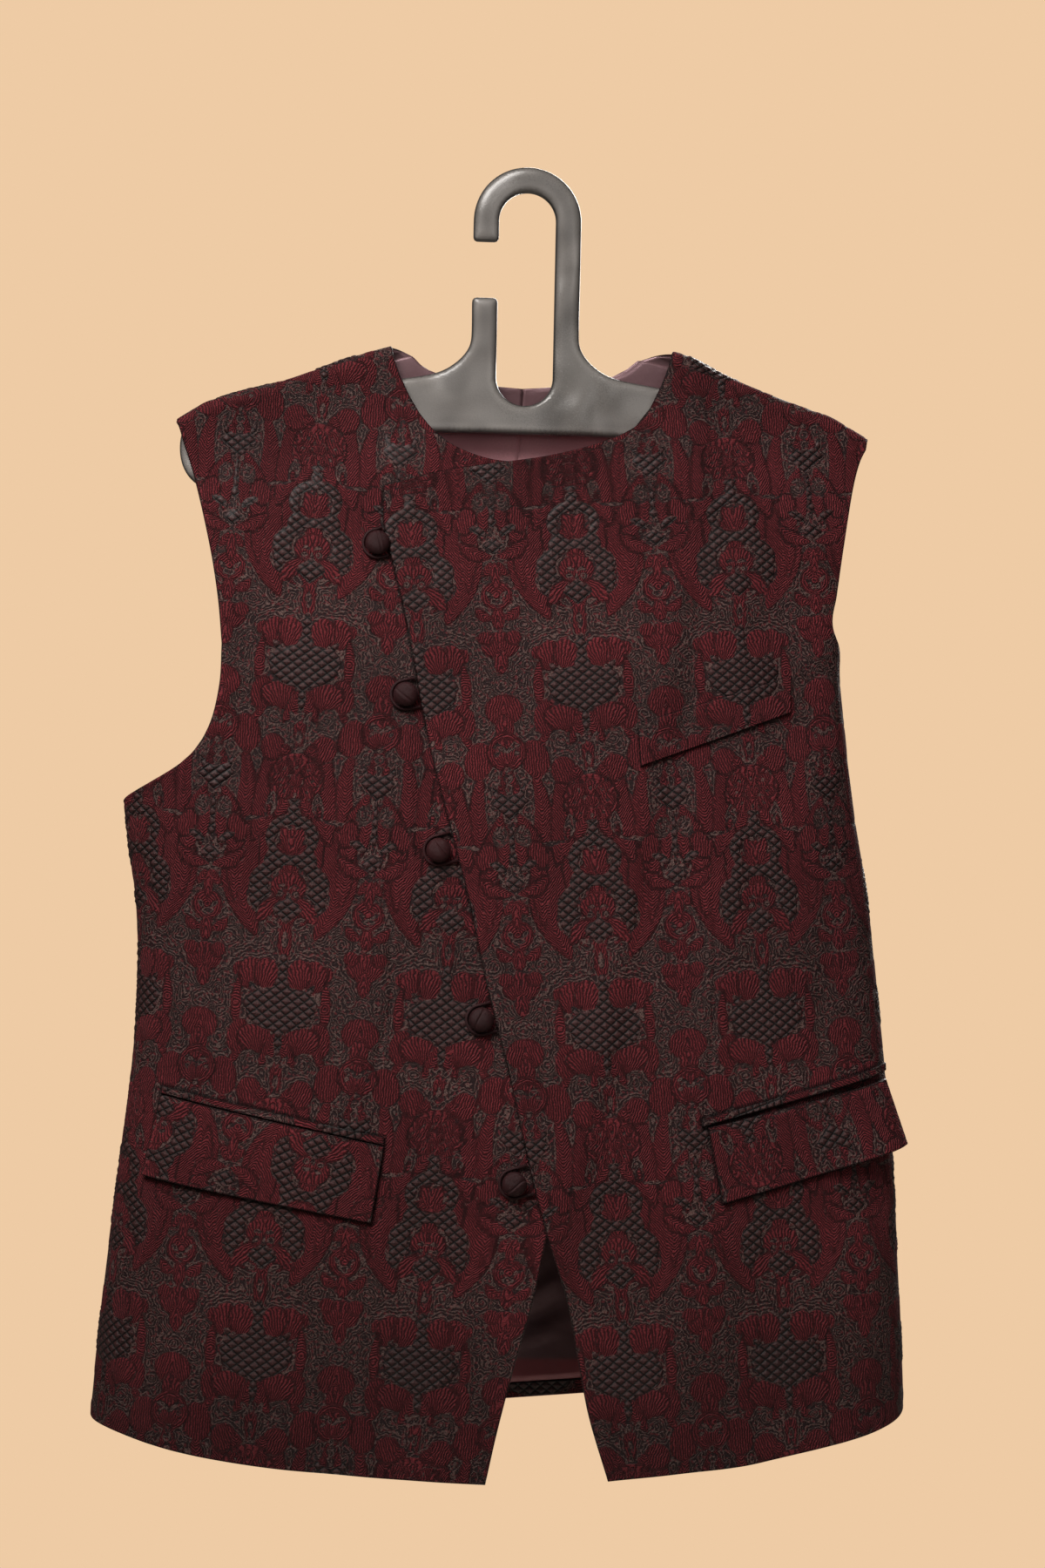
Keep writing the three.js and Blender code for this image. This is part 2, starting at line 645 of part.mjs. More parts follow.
// Covered buttons on the under front, each in a loop from the over front's edge.
const BUTTON_PROFILE = table(["r", "h"], [
  [3, 0], [3, 2.5], [6.9, 2.7], [7.6, 3.6], [7.3, 4.9], [6, 6.4], [3.8, 7.5],
]);
const BUTTON_TOP = 8;
const BUTTONS = table(["x", "z"], [
  [-91, -226], [-72, -319.5], [-50, -415], [-22, -518.5], [0, -618],
]);
const OVER_EDGE = OVER_ROWS.filter((row) => row.innerZ !== null && row.innerZ <= -190);

/** The frame of a button: its seat, outward, along the over front's edge, and toward it. */
function buttonFrame({ x, z }) {
  const s = frontS(z, x);
  const { point, normal } = onPanel("front_right", s, z);
  const edge = (height) => frontS(height, follow(OVER_EDGE, "innerZ", height, "innerX"));
  const run = new THREE.Vector2(edge(z + 10) - edge(z - 10), 20).normalize();
  const reach = (edge(z) - s) * run.y;
  const step = (ds, dz) => onPanel("front_right", s + ds, z + dz).point.sub(point);
  const along = step(run.x * 4, run.y * 4).normalize();
  const toward = along.clone().cross(normal).normalize();
  if (toward.x < 0) toward.negate();
  return { point, normal, along, toward, reach };
}

/** A body turned round the button's own axis. */
function buttonSolid({ point, normal, along, toward }) {
  const seat = (r, h, angle) =>
    point.clone().addScaledVector(normal, BUTTON_SEAT + h)
      .addScaledVector(along, r * Math.cos(angle)).addScaledVector(toward, r * Math.sin(angle));
  const points = BUTTON_PROFILE.flatMap(({ r, h }) =>
    Array.from({ length: BUTTON_SIDES }, (_, k) => seat(r, h, (k / BUTTON_SIDES) * 2 * Math.PI)),
  );
  const index = [];
  const ring = (i, k) => i * BUTTON_SIDES + (k % BUTTON_SIDES);
  for (let i = 0; i < BUTTON_PROFILE.length - 1; i += 1) {
    for (let k = 0; k < BUTTON_SIDES; k += 1) {
      index.push(ring(i, k), ring(i, k + 1), ring(i + 1, k + 1));
      index.push(ring(i, k), ring(i + 1, k + 1), ring(i + 1, k));
    }
  }
  const [bottom, top] = [points.length, points.length + 1];
  points.push(seat(0, 0, 0), seat(0, BUTTON_TOP, 0));
  for (let k = 0; k < BUTTON_SIDES; k += 1) {
    index.push(bottom, ring(0, k + 1), ring(0, k));
    const last = BUTTON_PROFILE.length - 1;
    index.push(top, ring(last, k), ring(last, k + 1));
  }
  return solid(points, index);
}

/** A round cord along a path of points. */
function cord(path, radius, sides, across) {
  const points = [];
  const index = [];
  path.forEach((at, i) => {
    const next = path[Math.min(path.length - 1, i + 1)];
    const along = next.clone().sub(path[Math.max(0, i - 1)]).normalize();
    const side = across.clone().cross(along).normalize();
    for (let k = 0; k < sides; k += 1) {
      const angle = (k / sides) * 2 * Math.PI;
      points.push(
        at.clone().addScaledVector(across, radius * Math.cos(angle))
          .addScaledVector(side, radius * Math.sin(angle)),
      );
    }
    if (i === 0) return;
    for (let k = 0; k < sides; k += 1) {
      const [a, b] = [(i - 1) * sides + k, (i - 1) * sides + ((k + 1) % sides)];
      index.push(a, b, b + sides, a, b + sides, a + sides);
    }
  });
  const [first, last] = [points.length, points.length + 1];
  points.push(path[0].clone(), path[path.length - 1].clone());
  const end = (path.length - 1) * sides;
  for (let k = 0; k < sides; k += 1) {
    index.push(first, (k + 1) % sides, k, last, end + k, end + ((k + 1) % sides));
  }
  return solid(points, index);
}

function loopSolid({ point, normal, along, toward, reach }) {
  const at = (a, b) =>
    point.clone().addScaledVector(normal, LAYER_GAP + LOOP_RADIUS)
      .addScaledVector(toward, a).addScaledVector(along, b);
  const end = reach - 0.7;
  const turn = Array.from({ length: 9 }, (_, k) => {
    const angle = (k / 8) * Math.PI;
    return at(-LOOP_REACH * Math.sin(angle), LOOP_REACH * Math.cos(angle));
  });
  return cord([at(end, LOOP_REACH), ...turn, at(end, -LOOP_REACH)], LOOP_RADIUS, LOOP_SIDES,
    normal);
}
BUTTONS.forEach((button, i) => {
  const frame = buttonFrame(button);
  add(`button_${i + 1}`, buttonSolid(frame), COLOURS.brocade);
  add(`loop_${i + 1}`, loopSolid(frame), COLOURS.cord);
});

// Hanger: one flat moulding, its hook and arms drawn in a single outline and its rim bevelled.
const SHOULDER_LINE = table(["x", "z"], [
  [34, -60], [34, -92], [35.5, -98.5], [39.5, -104.5], [45, -109.5], [51.5, -113.5],
  [60, -116.5], [71, -118.5], [87, -121], [113, -125.3], [140, -130], [180, -138.3],
  [197, -141.8], [205, -143.9], [210.5, -148.5], [214, -156], [215.5, -167], [213.5, -178],
  [208, -186.5], [199, -192], [187, -192], [172, -186.5], [150, -176], [120, -164.5],
  [90, -156.8], [62, -153.2], [30, -152.5],
]);
const STUB_TOP = -67;
const SLOT_CENTRE = -116.5;
const HOOK_TIP = -31.5;
const arc = (centreZ, radius, from, to, steps) =>
  Array.from({ length: steps + 1 }, (_, k) => {
    const angle = THREE.MathUtils.degToRad(mix(from, to, k / steps));
    return { x: radius * Math.cos(angle), z: centreZ + radius * Math.sin(angle) };
  });
const leftArm = SHOULDER_LINE.slice(1).map(({ x, z }) => ({ x: -x, z })).toReversed();
const HANGER_OUTLINE = [
  ...arc(-HOOK_INNER, HOOK_OUTER, 180, 0, 18), ...SHOULDER_LINE, { x: 0, z: -152.5 }, ...leftArm,
  { x: -HOOK_OUTER, z: STUB_TOP }, { x: -HOOK_INNER, z: STUB_TOP },
  ...arc(SLOT_CENTRE, HOOK_INNER, 180, 360, 12), { x: HOOK_INNER, z: -67 },
  ...arc(-HOOK_INNER, HOOK_INNER, 0, 180, 14),
  { x: -HOOK_INNER, z: HOOK_TIP }, { x: -HOOK_OUTER, z: HOOK_TIP },
];

/** The outline drawn in by a distance, each corner along its bisector. */
function drawnIn(outline, distance) {
  return outline.map((at, i) => {
    const before = outline[(i + outline.length - 1) % outline.length];
    const after = outline[(i + 1) % outline.length];
    const a = new THREE.Vector2(at.x - before.x, at.z - before.z).normalize();
    const b = new THREE.Vector2(after.x - at.x, after.z - at.z).normalize();
    const bisector = new THREE.Vector2(a.y + b.y, -a.x - b.x).normalize();
    const reach = distance / Math.max(0.5, bisector.x * a.y - bisector.y * a.x);
    return { x: at.x + bisector.x * reach, z: at.z + bisector.y * reach };
  });
}
function hangerSolid() {
  const face = drawnIn(HANGER_OUTLINE, HANGER_BEVEL);
  const layers = [
    [face, -HANGER_HALF], [HANGER_OUTLINE, HANGER_BEVEL - HANGER_HALF],
    [HANGER_OUTLINE, HANGER_HALF - HANGER_BEVEL], [face, HANGER_HALF],
  ];
  const count = HANGER_OUTLINE.length;
  const points = layers.flatMap(([ring, y]) => ring.map(({ x, z }) => new THREE.Vector3(x, y, z)));
  const index = [];
  for (let layer = 0; layer < 3; layer += 1) {
    for (let k = 0; k < count; k += 1) {
      const [a, b] = [layer * count + k, layer * count + ((k + 1) % count)];
      index.push(a, b, b + count, a, b + count, a + count);
    }
  }
  const flat = face.map(({ x, z }) => new THREE.Vector2(x, z));
  for (const [a, b, c] of THREE.ShapeUtils.triangulateShape(flat, [])) {
    index.push(a, b, c, 3 * count + a, 3 * count + c, 3 * count + b);
  }
  return solid(points, index);
}
add("hanger", hangerSolid(), COLOURS.hanger, 0.45);

export default group;
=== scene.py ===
"""A man's damask waistcoat on a flat moulded hanger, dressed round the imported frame.

Shapes are worked out in millimetres and put into meshes in metres. X runs across the front
toward the wearer's left, the front faces -Y, and the origin is the inside top of the hook.
"""
from __future__ import annotations

import logging
import math
from dataclasses import dataclass, field
from enum import Enum
from typing import Union

import bpy
import numpy as np
from mathutils import Matrix, Vector
from mathutils.geometry import delaunay_2d_cdt

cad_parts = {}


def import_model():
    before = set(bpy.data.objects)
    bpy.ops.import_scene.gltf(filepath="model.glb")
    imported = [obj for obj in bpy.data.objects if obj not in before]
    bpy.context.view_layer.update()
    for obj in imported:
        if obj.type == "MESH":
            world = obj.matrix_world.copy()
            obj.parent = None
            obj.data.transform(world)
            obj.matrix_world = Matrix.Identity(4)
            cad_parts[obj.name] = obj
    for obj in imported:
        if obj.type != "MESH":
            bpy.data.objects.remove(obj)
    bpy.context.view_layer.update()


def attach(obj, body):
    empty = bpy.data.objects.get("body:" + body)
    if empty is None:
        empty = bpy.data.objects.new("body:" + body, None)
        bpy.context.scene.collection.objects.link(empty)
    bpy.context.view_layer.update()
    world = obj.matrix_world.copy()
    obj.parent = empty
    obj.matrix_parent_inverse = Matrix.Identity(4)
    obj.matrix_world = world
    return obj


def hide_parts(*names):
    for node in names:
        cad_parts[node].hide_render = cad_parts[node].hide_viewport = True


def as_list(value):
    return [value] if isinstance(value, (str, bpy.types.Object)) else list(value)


Array = np.ndarray
Socket = bpy.types.NodeSocket
Thing = bpy.types.Object
Material = bpy.types.Material
LOG = logging.getLogger("waistcoat")
Pair = tuple[float, float]
Triple = tuple[float, float, float]
MM = 0.001


def smooth(t: Array) -> Array:
    """Ease from 0 to 1: three squares less two cubes of the clamped share."""
    c = np.clip(t, 0.0, 1.0)
    return c * c * (3.0 - 2.0 * c)


def mix(a: Array, b: Array, t: Array) -> Array:
    """The value between a and b at share t."""
    return a + (b - a) * t


def hermite(keys: Array, values: Array, at: Array) -> Array:
    """A smooth curve through points, read at some keys.

    Between two keys it is the cubic whose slopes at both are the slopes between each key's
    neighbours. Past the ends it stays at the last value.

    Args:
        keys: the points' keys, rising or falling.
        values: one value per key.
        at: the keys to read the curve at.

    Returns:
        The curve's values, in the shape of ``at``.
    """
    if keys[-1] < keys[0]:
        keys, values = keys[::-1], values[::-1]
    inner = (values[2:] - values[:-2]) / (keys[2:] - keys[:-2])
    ends = np.diff(values)[[0, -1]] / np.diff(keys)[[0, -1]]
    slopes = np.concatenate([ends[:1], inner, ends[1:]])
    i = np.clip(np.searchsorted(keys, at, side="right") - 1, 0, len(keys) - 2)
    span = keys[i + 1] - keys[i]
    t = np.clip((at - keys[i]) / span, 0.0, 1.0)
    t2, t3 = t * t, t * t * t
    return (
        (2 * t3 - 3 * t2 + 1) * values[i]
        + (t3 - 2 * t2 + t) * span * slopes[i]
        + (3 * t2 - 2 * t3) * values[i + 1]
        + (t3 - t2) * span * slopes[i + 1]
    )


class Rows:
    """A short table of numbers whose columns are read by name."""

    def __init__(self, columns: str, rows: str) -> None:
        """Keep the rows as one array per named column.

        Args:
            columns: the columns' names, parted by spaces.
            rows: the rows, parted by semicolons, with a dash for a missing number.
        """
        data = np.array([[math.nan if word == "-" else float(word) for word in row.split()]
                         for row in rows.split(";")])
        self.columns = dict(zip(columns.split(), data.T))

    def __getitem__(self, name: str) -> Array:
        """One column."""
        return self.columns[name]

    def follow(self, key: str, at: Array, column: str) -> Array:
        """One column's smooth curve, read at keys."""
        return hermite(self[key], self[column], np.asarray(at, float))


class Creases(Rows):
    """Long soft lines in the cloth, from (s0, z0) to (s1, z1), with their width and height."""

    def __init__(self, start: float, growth: float, rows: str) -> None:
        """Read the lines.

        Args:
            start: the share that is already risen at a line's first end.
            growth: how fast it rises along its length.
            rows: the lines.
        """
        super().__init__("s0 z0 s1 z1 wide high", rows)
        self.start, self.growth = start, growth

    def lift(self, s: Array, z: Array) -> Array:
        """How far they move the cloth out: each height times a bell over the distance.

        Args:
            s: walk lengths.
            z: heights.

        Returns:
            The sum over all lines, in millimetres.
        """
        total = np.zeros_like(s)
        for s0, z0, s1, z1, wide, high in np.stack(list(self.columns.values()), axis=1):
            ds, dz = s1 - s0, z1 - z0
            along = ((s - s0) * ds + (z - z0) * dz) / (ds * ds + dz * dz)
            near = np.clip(along, 0.0, 1.0)
            away = np.hypot(s - s0 - near * ds, z - z0 - near * dz)
            risen = smooth(self.start + along * self.growth)
            total += high * np.exp(-((away / wide) ** 2)) * risen
        return total


# Thicknesses and gaps of the cloth, in millimetres like every length before a mesh.
WALL = 2.0
LAYER_GAP = 0.5
SEAM_GAP = 0.12
# The cloth rolls over the shoulder line at this radius, and is as deep as the body below the ease.
RIDGE_RADIUS = 9.0
RIDGE_EASE = 80.0
# Over how many rows the hem's curve, the shoulder's lift and the creases fade.
HEM_STEPS = 4.0
SHOULDER_STEPS = 5.0
FLAT_STEPS = 3.0
# The over front stands on the under front from its foot to the neck's corner, and comes down
# to the body between these distances past the hidden edge.
OVERLAP_LIFT = WALL + 0.8
OVERLAP_FOOT, OVERLAP_FADE = -720.0, 50.0
OVERLAP_TOP = -191.0
OVERLAP_NEAR, OVERLAP_FAR = 6.0, 26.0
# A sheet's grid lines lie at these distances from its edge, and evenly past the last.
EDGE_LINES = (0.0, 0.4, 0.9, 1.5)
# How many places are measured against an outline at a time.
DEPTH_BATCH = 2000
# How wide the painted shade beside an edge is, and how it follows the distance from a laid piece.
SHADE_REACH = 6.0
CONTACT = 0.55
FAINT_CONTACT = 1.5 * CONTACT
# The pitches of the coils in the ground and of the quilting's diamonds.
SCROLL_PITCH = 1.8
DIAMOND_WIDE = 7.3
DIAMOND_TALL = 5.8

SECTIONS = Rows("z left right front back squareLeft squareRight", """
    -830 -262 256 63 54 2.2 3.6; -760 -258 253 62 52 2.2 3.7; -700 -253 249.5 61 50 2.2 3.8;
    -650 -248 246 60 48 2.2 3.9; -600 -242.5 242.5 59 46 2.2 4; -550 -237.5 237 56 42 2.15 4;
    -500 -235 231 52 39 2.15 4.1; -450 -237.5 225 49 37 2.1 4.2; -420 -242 220 47.5 36 2.1 4.2;
    -390 -246 214.5 46 36 2.1 4.2; -340 -252 208 42 33 2.1 4.1; -290 -256 203.5 38 30 2.1 4;
    -250 -256 210 34 27 2.05 3.6; -200 -254 232 27 22 2 3.2; -150 -252 250 20 17 2 2.8;
    -90 -250 252 13 12 2 2.6
""")
RIDGE = Rows("x z", """
    -224 -154; -218 -149; -205 -140.5; -197 -136.5; -178 -130; -148 -121.5; -113 -108; -85 -99;
    -70 -95; -40 -92; 0 -91; 50 -92; 80 -94.5; 95 -98; 107 -102; 129 -112; 155 -122; 181 -131;
    195 -135.5; 207 -142; 221 -150; 227 -154
""")
ROW = "innerX innerZ outerX past outerZ corner"
UNDER_ROWS = Rows(ROW, """
    -14 -802.5 - 24 -768 1; -7 -769 - 24 -738 0; 3 -728 - 24 -702 0; 13 -691 - 24 -666 0;
    21 -650 - 24 -628 0; 30 -608 - 24 -588 0; 41 -552 - 24 -540 0; 50 -497 - 24 -494 0;
    59 -441 - 24 -450 0; 69 -378 - 24 -415 0; 75 -345 - 24 -392 1; 79 -322 - 3 -390 0;
    83 -298 -229 - -376.5 0; 86 -274 -206 - -360.5 0; 89 -250 -193 - -340 0;
    92 -222 -187.5 - -315 0; 97 -191 -186.5 - -290 1; 58 -179.5 -189 - -265 0;
    17 -172.5 -193 - -240 0; -20 -170.5 -198 - -217 0; -48 -160 -203 - -197 0;
    -66 -142 -208 - -179 0; -77 -122 -212.5 - -166 0; -83 - -215.5 - - 1
""")
OVER_ROWS = Rows(ROW, """
    61.5 -800 - 50 -750 1; 49 -761 - 50 -720 0; 42 -728 - 50 -692 0; 34 -690 - 50 -660 0;
    21 -650 - 50 -624 0; 9 -608 - 50 -586 0; -4 -553 - 50 -538 0; -19 -497 - 50 -492 0;
    -32 -441 - 50 -448 0; -47 -387 - 50 -414 0; -56 -354 - 50 -389 1; -62 -328 - 38 -371 0;
    -67 -302 - 24 -349 0; -73 -272 - 12 -324 0; -80 -244 - 1 -299 0; -87 -218 198 - -273 0;
    -88.5 -190 199.5 - -249 1; -55 -180.5 202 - -228 0; -20 -174 204.5 - -211 0;
    15 -168 207 - -196 0; 48 -158.5 209.5 - -182 0; 70 -147 212 - -171 0; 83 -127 214.5 - -163 0;
    91 - 217.5 - - 1
""")
BACK_RIGHT_ROWS = Rows(ROW, """
    -22 -773 - 24 -768 1; -21 -740 - 24 -738 0; -20.5 -702 - 24 -702 0; -20 -664 - 24 -666 0;
    -18 -625 - 24 -628 0; -16 -584 - 24 -588 0; -14 -536 - 24 -540 0; -12 -490 - 24 -494 0;
    -11 -445 - 24 -450 0; -10 -410 - 24 -415 0; -10 -382 - 24 -392 1; -9 -350 -223 - -385 0;
    -8 -315 -207 - -371 0; -7 -280 -194 - -350 0; -6 -250 -185 - -325 0; -4 -222 -181 - -296 0;
    -3 -195 -180 - -266 0; -2 -170 -182 - -239 0; -1 -146 -186 - -216 0; 0 -122.5 -192 - -197 1;
    -33 -120 -199 - -181 0; -59 -113.5 -206 - -169 0; -71 - -214 - - 1
""")
BACK_LEFT_ROWS = Rows(ROW, """
    -22 -773 - 50 -750 1; -21 -740 - 50 -720 0; -20.5 -702 - 50 -692 0; -20 -664 - 50 -660 0;
    -18 -625 - 50 -624 0; -16 -584 - 50 -586 0; -14 -536 - 50 -538 0; -12 -490 - 50 -492 0;
    -11 -445 - 50 -448 0; -10 -410 - 50 -414 0; -10 -382 - 50 -389 1; -9 -350 176 - -382 0;
    -8 -315 170 - -364 0; -7 -280 168 - -338 0; -6 -250 168 - -309 0; -4 -222 171 - -282 0;
    -3 -195 176 - -257 0; -2 -170 182 - -234 0; -1 -146 189 - -213 0; 0 -122.5 196 - -196 1;
    33 -119.5 203 - -181 0; 60 -112.5 209 - -168 0; 74 - 216 - - 1
""")
UNDER_HEM = Rows("u z", """
    0 0; 0.12 -2.2; 0.27 -5.5; 0.42 -8; 0.58 -8.5; 0.72 -6; 0.84 -3; 1 0
""")
OVER_HEM = Rows("u z", """
    0 0; 0.16 -3; 0.31 -6.5; 0.42 -5.5; 0.54 -3.8; 0.66 -0.8; 0.79 3.5; 0.87 4.5; 1 0
""")
BACK_HEM = Rows("u z", """
    0 0; 0.5 -1.5; 1 0
""")

CREASES = Creases(0.35, 2.2, """
    -112 -352 -84 -470 13 2.2; -84 -470 -98 -585 13 1.8; 116 -360 124 -470 14 2;
    124 -470 116 -580 14 1.8; -196 -640 -212 -800 26 3.4; -120 -660 -112 -800 24 -2.6;
    -48 -690 -44 -800 22 2; 92 -700 96 -800 22 2.2; 150 -660 158 -800 24 -2.4;
    214 -640 226 -790 24 3; -150 -250 -170 -360 24 -2.6; 158 -240 172 -330 22 -2.2;
    -150 -180 -120 -260 26 1.8; 150 -170 130 -250 26 1.8; -420 -560 -404 -770 34 4;
    -340 -500 -336 -770 32 -3.4; 420 -540 412 -750 34 3.6; 350 -480 346 -760 32 -3
""")
# Small puckers, and the stitched lines of the darts, which sink into the cloth.
PUCKERS = Creases(0.5, 3.0, """
    -106 -369 -91 -416 1.6 -0.7; -91 -416 -79 -463 1.6 -0.9; -79 -463 -77 -510 1.6 -0.9;
    -77 -510 -89 -557 1.6 -0.9; -89 -557 -94 -592 1.6 -0.7; 115 -362 121 -420 1.6 -0.7;
    121 -420 123 -500 1.6 -0.9; 123 -500 117 -586 1.6 -0.8; -71 -340 -66 -430 3.4 0.8;
    -62 -360 -58 -470 3.2 -0.7; -84 -380 -70 -450 2.8 0.6; -66 -480 -63 -560 3.6 0.6;
    -112 -430 -100 -520 3.6 -0.6; -128 -440 -120 -540 5 0.6; 134 -390 140 -500 4.4 0.6;
    106 -430 108 -540 4 -0.5; -205 -430 -190 -520 8 -1; -230 -470 -222 -600 8 0.9;
    196 -430 188 -540 8 -0.9; 222 -480 226 -600 8 0.9; 40 -210 96 -250 9 0.7;
    -40 -200 -70 -262 8 -0.6; -160 -300 -196 -336 6 0.8; 168 -300 190 -290 6 0.7;
    -300 -480 -296 -600 8 1; -470 -520 -462 -700 9 -1; 310 -470 306 -600 8 1;
    470 -520 462 -700 9 -1; -450 -250 -420 -330 9 0.9; 440 -250 420 -330 9 0.9
""")


@dataclass
class Body:
    """The form that the cloth hangs in.

    At each height a closed loop is walked by its length ``s``, whose zero is the front where
    x is 0. The loop is a superellipse with its own bluntness on each side, and its depth
    shrinks to the shoulder roll under the shoulder line.
    """

    steps: int = 360
    low: float = -836.0
    high: float = -84.0
    reach: float = 640.0
    pace: float = 0.5
    heights: Array = field(init=False)
    walk: Array = field(init=False)
    across: Array = field(init=False)
    deep: Array = field(init=False)

    def __post_init__(self) -> None:
        """Read every loop at even walk lengths, so that points come by interpolation."""
        self.heights = np.arange(self.low, self.high + 1.0)
        self.walk = np.arange(-self.reach, self.reach + self.pace, self.pace)
        x, y, s = self.loops(self.heights)
        self.across = np.stack([np.interp(self.walk, s[i], x[i]) for i in range(len(s))])
        self.deep = np.stack([np.interp(self.walk, s[i], y[i]) for i in range(len(s))])

    def loops(self, z: Array) -> tuple[Array, Array, Array]:
        """Loops at some heights.

        x is the middle less half the width times the sine, raised to two over the bluntness
        with its sign kept, and y is the bow times the cosine in the same way. s adds up the
        steps between the points.

        Args:
            z: heights.

        Returns:
            x, y and walk length, each as one row per height.
        """
        row = {name: SECTIONS.follow("z", z, name)[:, None] for name in SECTIONS.columns}
        turn = np.arange(-self.steps, 5 * self.steps + 1) / self.steps * (math.pi / 2)
        sine, cosine = np.sin(turn)[None], np.cos(turn)[None]
        power = 2.0 / np.where(sine > 0, row["squareLeft"], row["squareRight"])
        half = (row["right"] - row["left"]) / 2
        x = (row["right"] + row["left"]) / 2 - half * np.sign(sine) * np.abs(sine) ** power
        bow = np.where(cosine > 0, row["back"], row["front"])
        y = bow * np.sign(cosine) * np.abs(cosine) ** power
        s = np.cumsum(np.hypot(np.diff(x, axis=1, prepend=x[:, :1]),
                               np.diff(y, axis=1, prepend=y[:, :1])), axis=1)
        front = slice(2 * self.steps, 4 * self.steps + 1)
        zero = [np.interp(0.0, x[i, front], s[i, front]) for i in range(len(s))]
        return x, y, s - np.array(zero)[:, None]

    def fold_s(self, z: float, left: bool) -> float:
        """The walk length of a side fold at a height."""
        return float(self.loops(np.array([z]))[2][0, (2 if left else 4) * self.steps])

    def s_at(self, z: float, x: float, left: bool, back: bool) -> float:
        """The walk length where the front, or a back half, passes an x.

        Args:
            z: the height.
            x: the place across.
            left: the half at low x, which matters on the back alone.
            back: whether the point lies on the back.

        Returns:
            The walk length.
        """
        xs, _, ss = self.loops(np.array([z]))
        first, last = (2, 4) if not back else ((0, 2) if left else (4, 6))
        part = slice(first * self.steps, last * self.steps + 1)
        px, ps = xs[0, part], ss[0, part]
        order = np.argsort(px, kind="stable")
        return float(np.interp(x, px[order], ps[order]))

    def ridge(self, x: Array) -> Array:
        """The shoulder line's height over an x."""
        return RIDGE.follow("x", x, "z")

    def point(self, s: Array, z: Array) -> Array:
        """Points of the outer face before its creases, in the shape of s and z plus three.

        Args:
            s: walk lengths.
            z: heights.

        Returns:
            One point for each place.
        """
        i = np.clip(((z - self.low)).astype(int), 0, len(self.heights) - 2)
        j = np.clip(((s + self.reach) / self.pace).astype(int), 0, len(self.walk) - 2)
        t = np.clip(z - self.heights[i], 0.0, 1.0)
        u = (s - self.walk[j]) / self.pace
        x, y = (
            mix(mix(g[i, j], g[i, j + 1], u), mix(g[i + 1, j], g[i + 1, j + 1], u), t)
            for g in (self.across, self.deep)
        )
        depth = smooth((self.ridge(x) - z - RIDGE_RADIUS) / RIDGE_EASE)
        out = RIDGE_RADIUS + (np.abs(y) - RIDGE_RADIUS) * depth
        return np.stack([x, np.where(y > 0, 1.0, -1.0) * out, z], axis=-1)

    def normal(self, s: Array, z: Array) -> Array:
        """Outward directions: the cross of the steps along the walk and up.

        Args:
            s: walk lengths.
            z: heights.

        Returns:
            One direction of length 1 for each place.
        """
        along = self.point(s + 1.0, z) - self.point(s - 1.0, z)
        up = self.point(s, z + 1.0) - self.point(s, z - 1.0)
        out = np.cross(along, up)
        return out / np.linalg.norm(out, axis=-1, keepdims=True)


class Rib(Enum):
    """How the fine ribs run inside a woven leaf."""

    CHEVRON = "chevron"
    FAN = "fan"
    LONG = "long"
    ROUND = "round"


class Act(Enum):
    """What a mark of the chart does with its shape."""

    LAY = "lay"
    CUT = "cut"
    PAD = "pad"
    CLEAR = "clear"
    COIL = "coil"


# The main column: the bowl with its lobes, and the roundel with its wings. An oval has its
# middle, its half widths and its turn, a lozenge its middle and half widths, and a petal the
# two ends of its line, its half width and its bow.
MAIN_COLUMN = """
    lay oval 0 124 36 40 chevron; lay petal 24 92 18 171 12 10; lay petal 30 96 33 150 5 3;
    lay petal 0 158 0 186 4.6 0 long; lay oval 27 191 4.5 5; lay oval 20 193 8 10 -8 fan;
    lay oval 9.5 193 8 10.5 16 fan; lay petal 27 -17 27 17 3.4 1 round; lay oval 25 20 7.5 11 -8;
    lay oval 14 21 12 8.5 -14 fan; lay petal 2 16 12 38 4.2 -2; lay petal 3 32 2 54 2.4 -1 long;
    lay petal 23 30 30 38 2.6 1; lay petal 34 52 34 112 6.5 -3; lay petal 18 50 24 112 9.5 -5;
    lay oval 33 45 9 12 14; lay oval 16 53 8 8.5 -8; lay petal 8 50 5 63 4 1;
    lay oval 0 73 17 17 fan; lay oval 0 65 3.6 5.2 0 long; cut oval 0 65 0.9 1.3 0;
    lay oval 7.5 66 3.6 5.2 40 long; cut oval 7.5 66 0.9 1.3 40; lay oval 10 73 3.6 5.2 90 long;
    cut oval 10 73 0.9 1.3 90; lay oval 7 80 3.6 5.2 140 long; cut oval 7 80 0.9 1.3 140;
    lay oval 0 82 3.6 5.2 0 long; cut oval 0 82 0.9 1.3 0; lay oval 0 73 4.2 4 fan;
    lay petal 3 84 12 97 4.4 1; cut petal 14 80 17 97 3.6 -1; lay petal 15 87 16 96 1.7;
    cut petal 17 97 33 98 1.2; cut petal 36 60 38 92 3.6 2; coil 41 87 6; coil 16 35 5.5 -1;
    coil 37 22 6; coil 34 -14 6 -1; coil 21 168 7; coil 35 172 8 -1; coil 42 138 6;
    cut oval 16 34 4.6 6 12; cut oval 0 46 1.7 4; cut petal 2 38 7 30 1.8; pad oval 0 -1 23 10.5;
    pad oval 0 3 21.5 12.5; pad lozenge 0 9 13 10; pad petal 15 -7 20.5 -14 1.8;
    pad petal 0 14 0 31 2.4; pad lozenge 0 -13 5.5 8; pad oval 0 -19 3.4 3.2;
    pad oval 0 -25 3.8 3.2; pad oval 0 -29 2.2 3.2;
"""
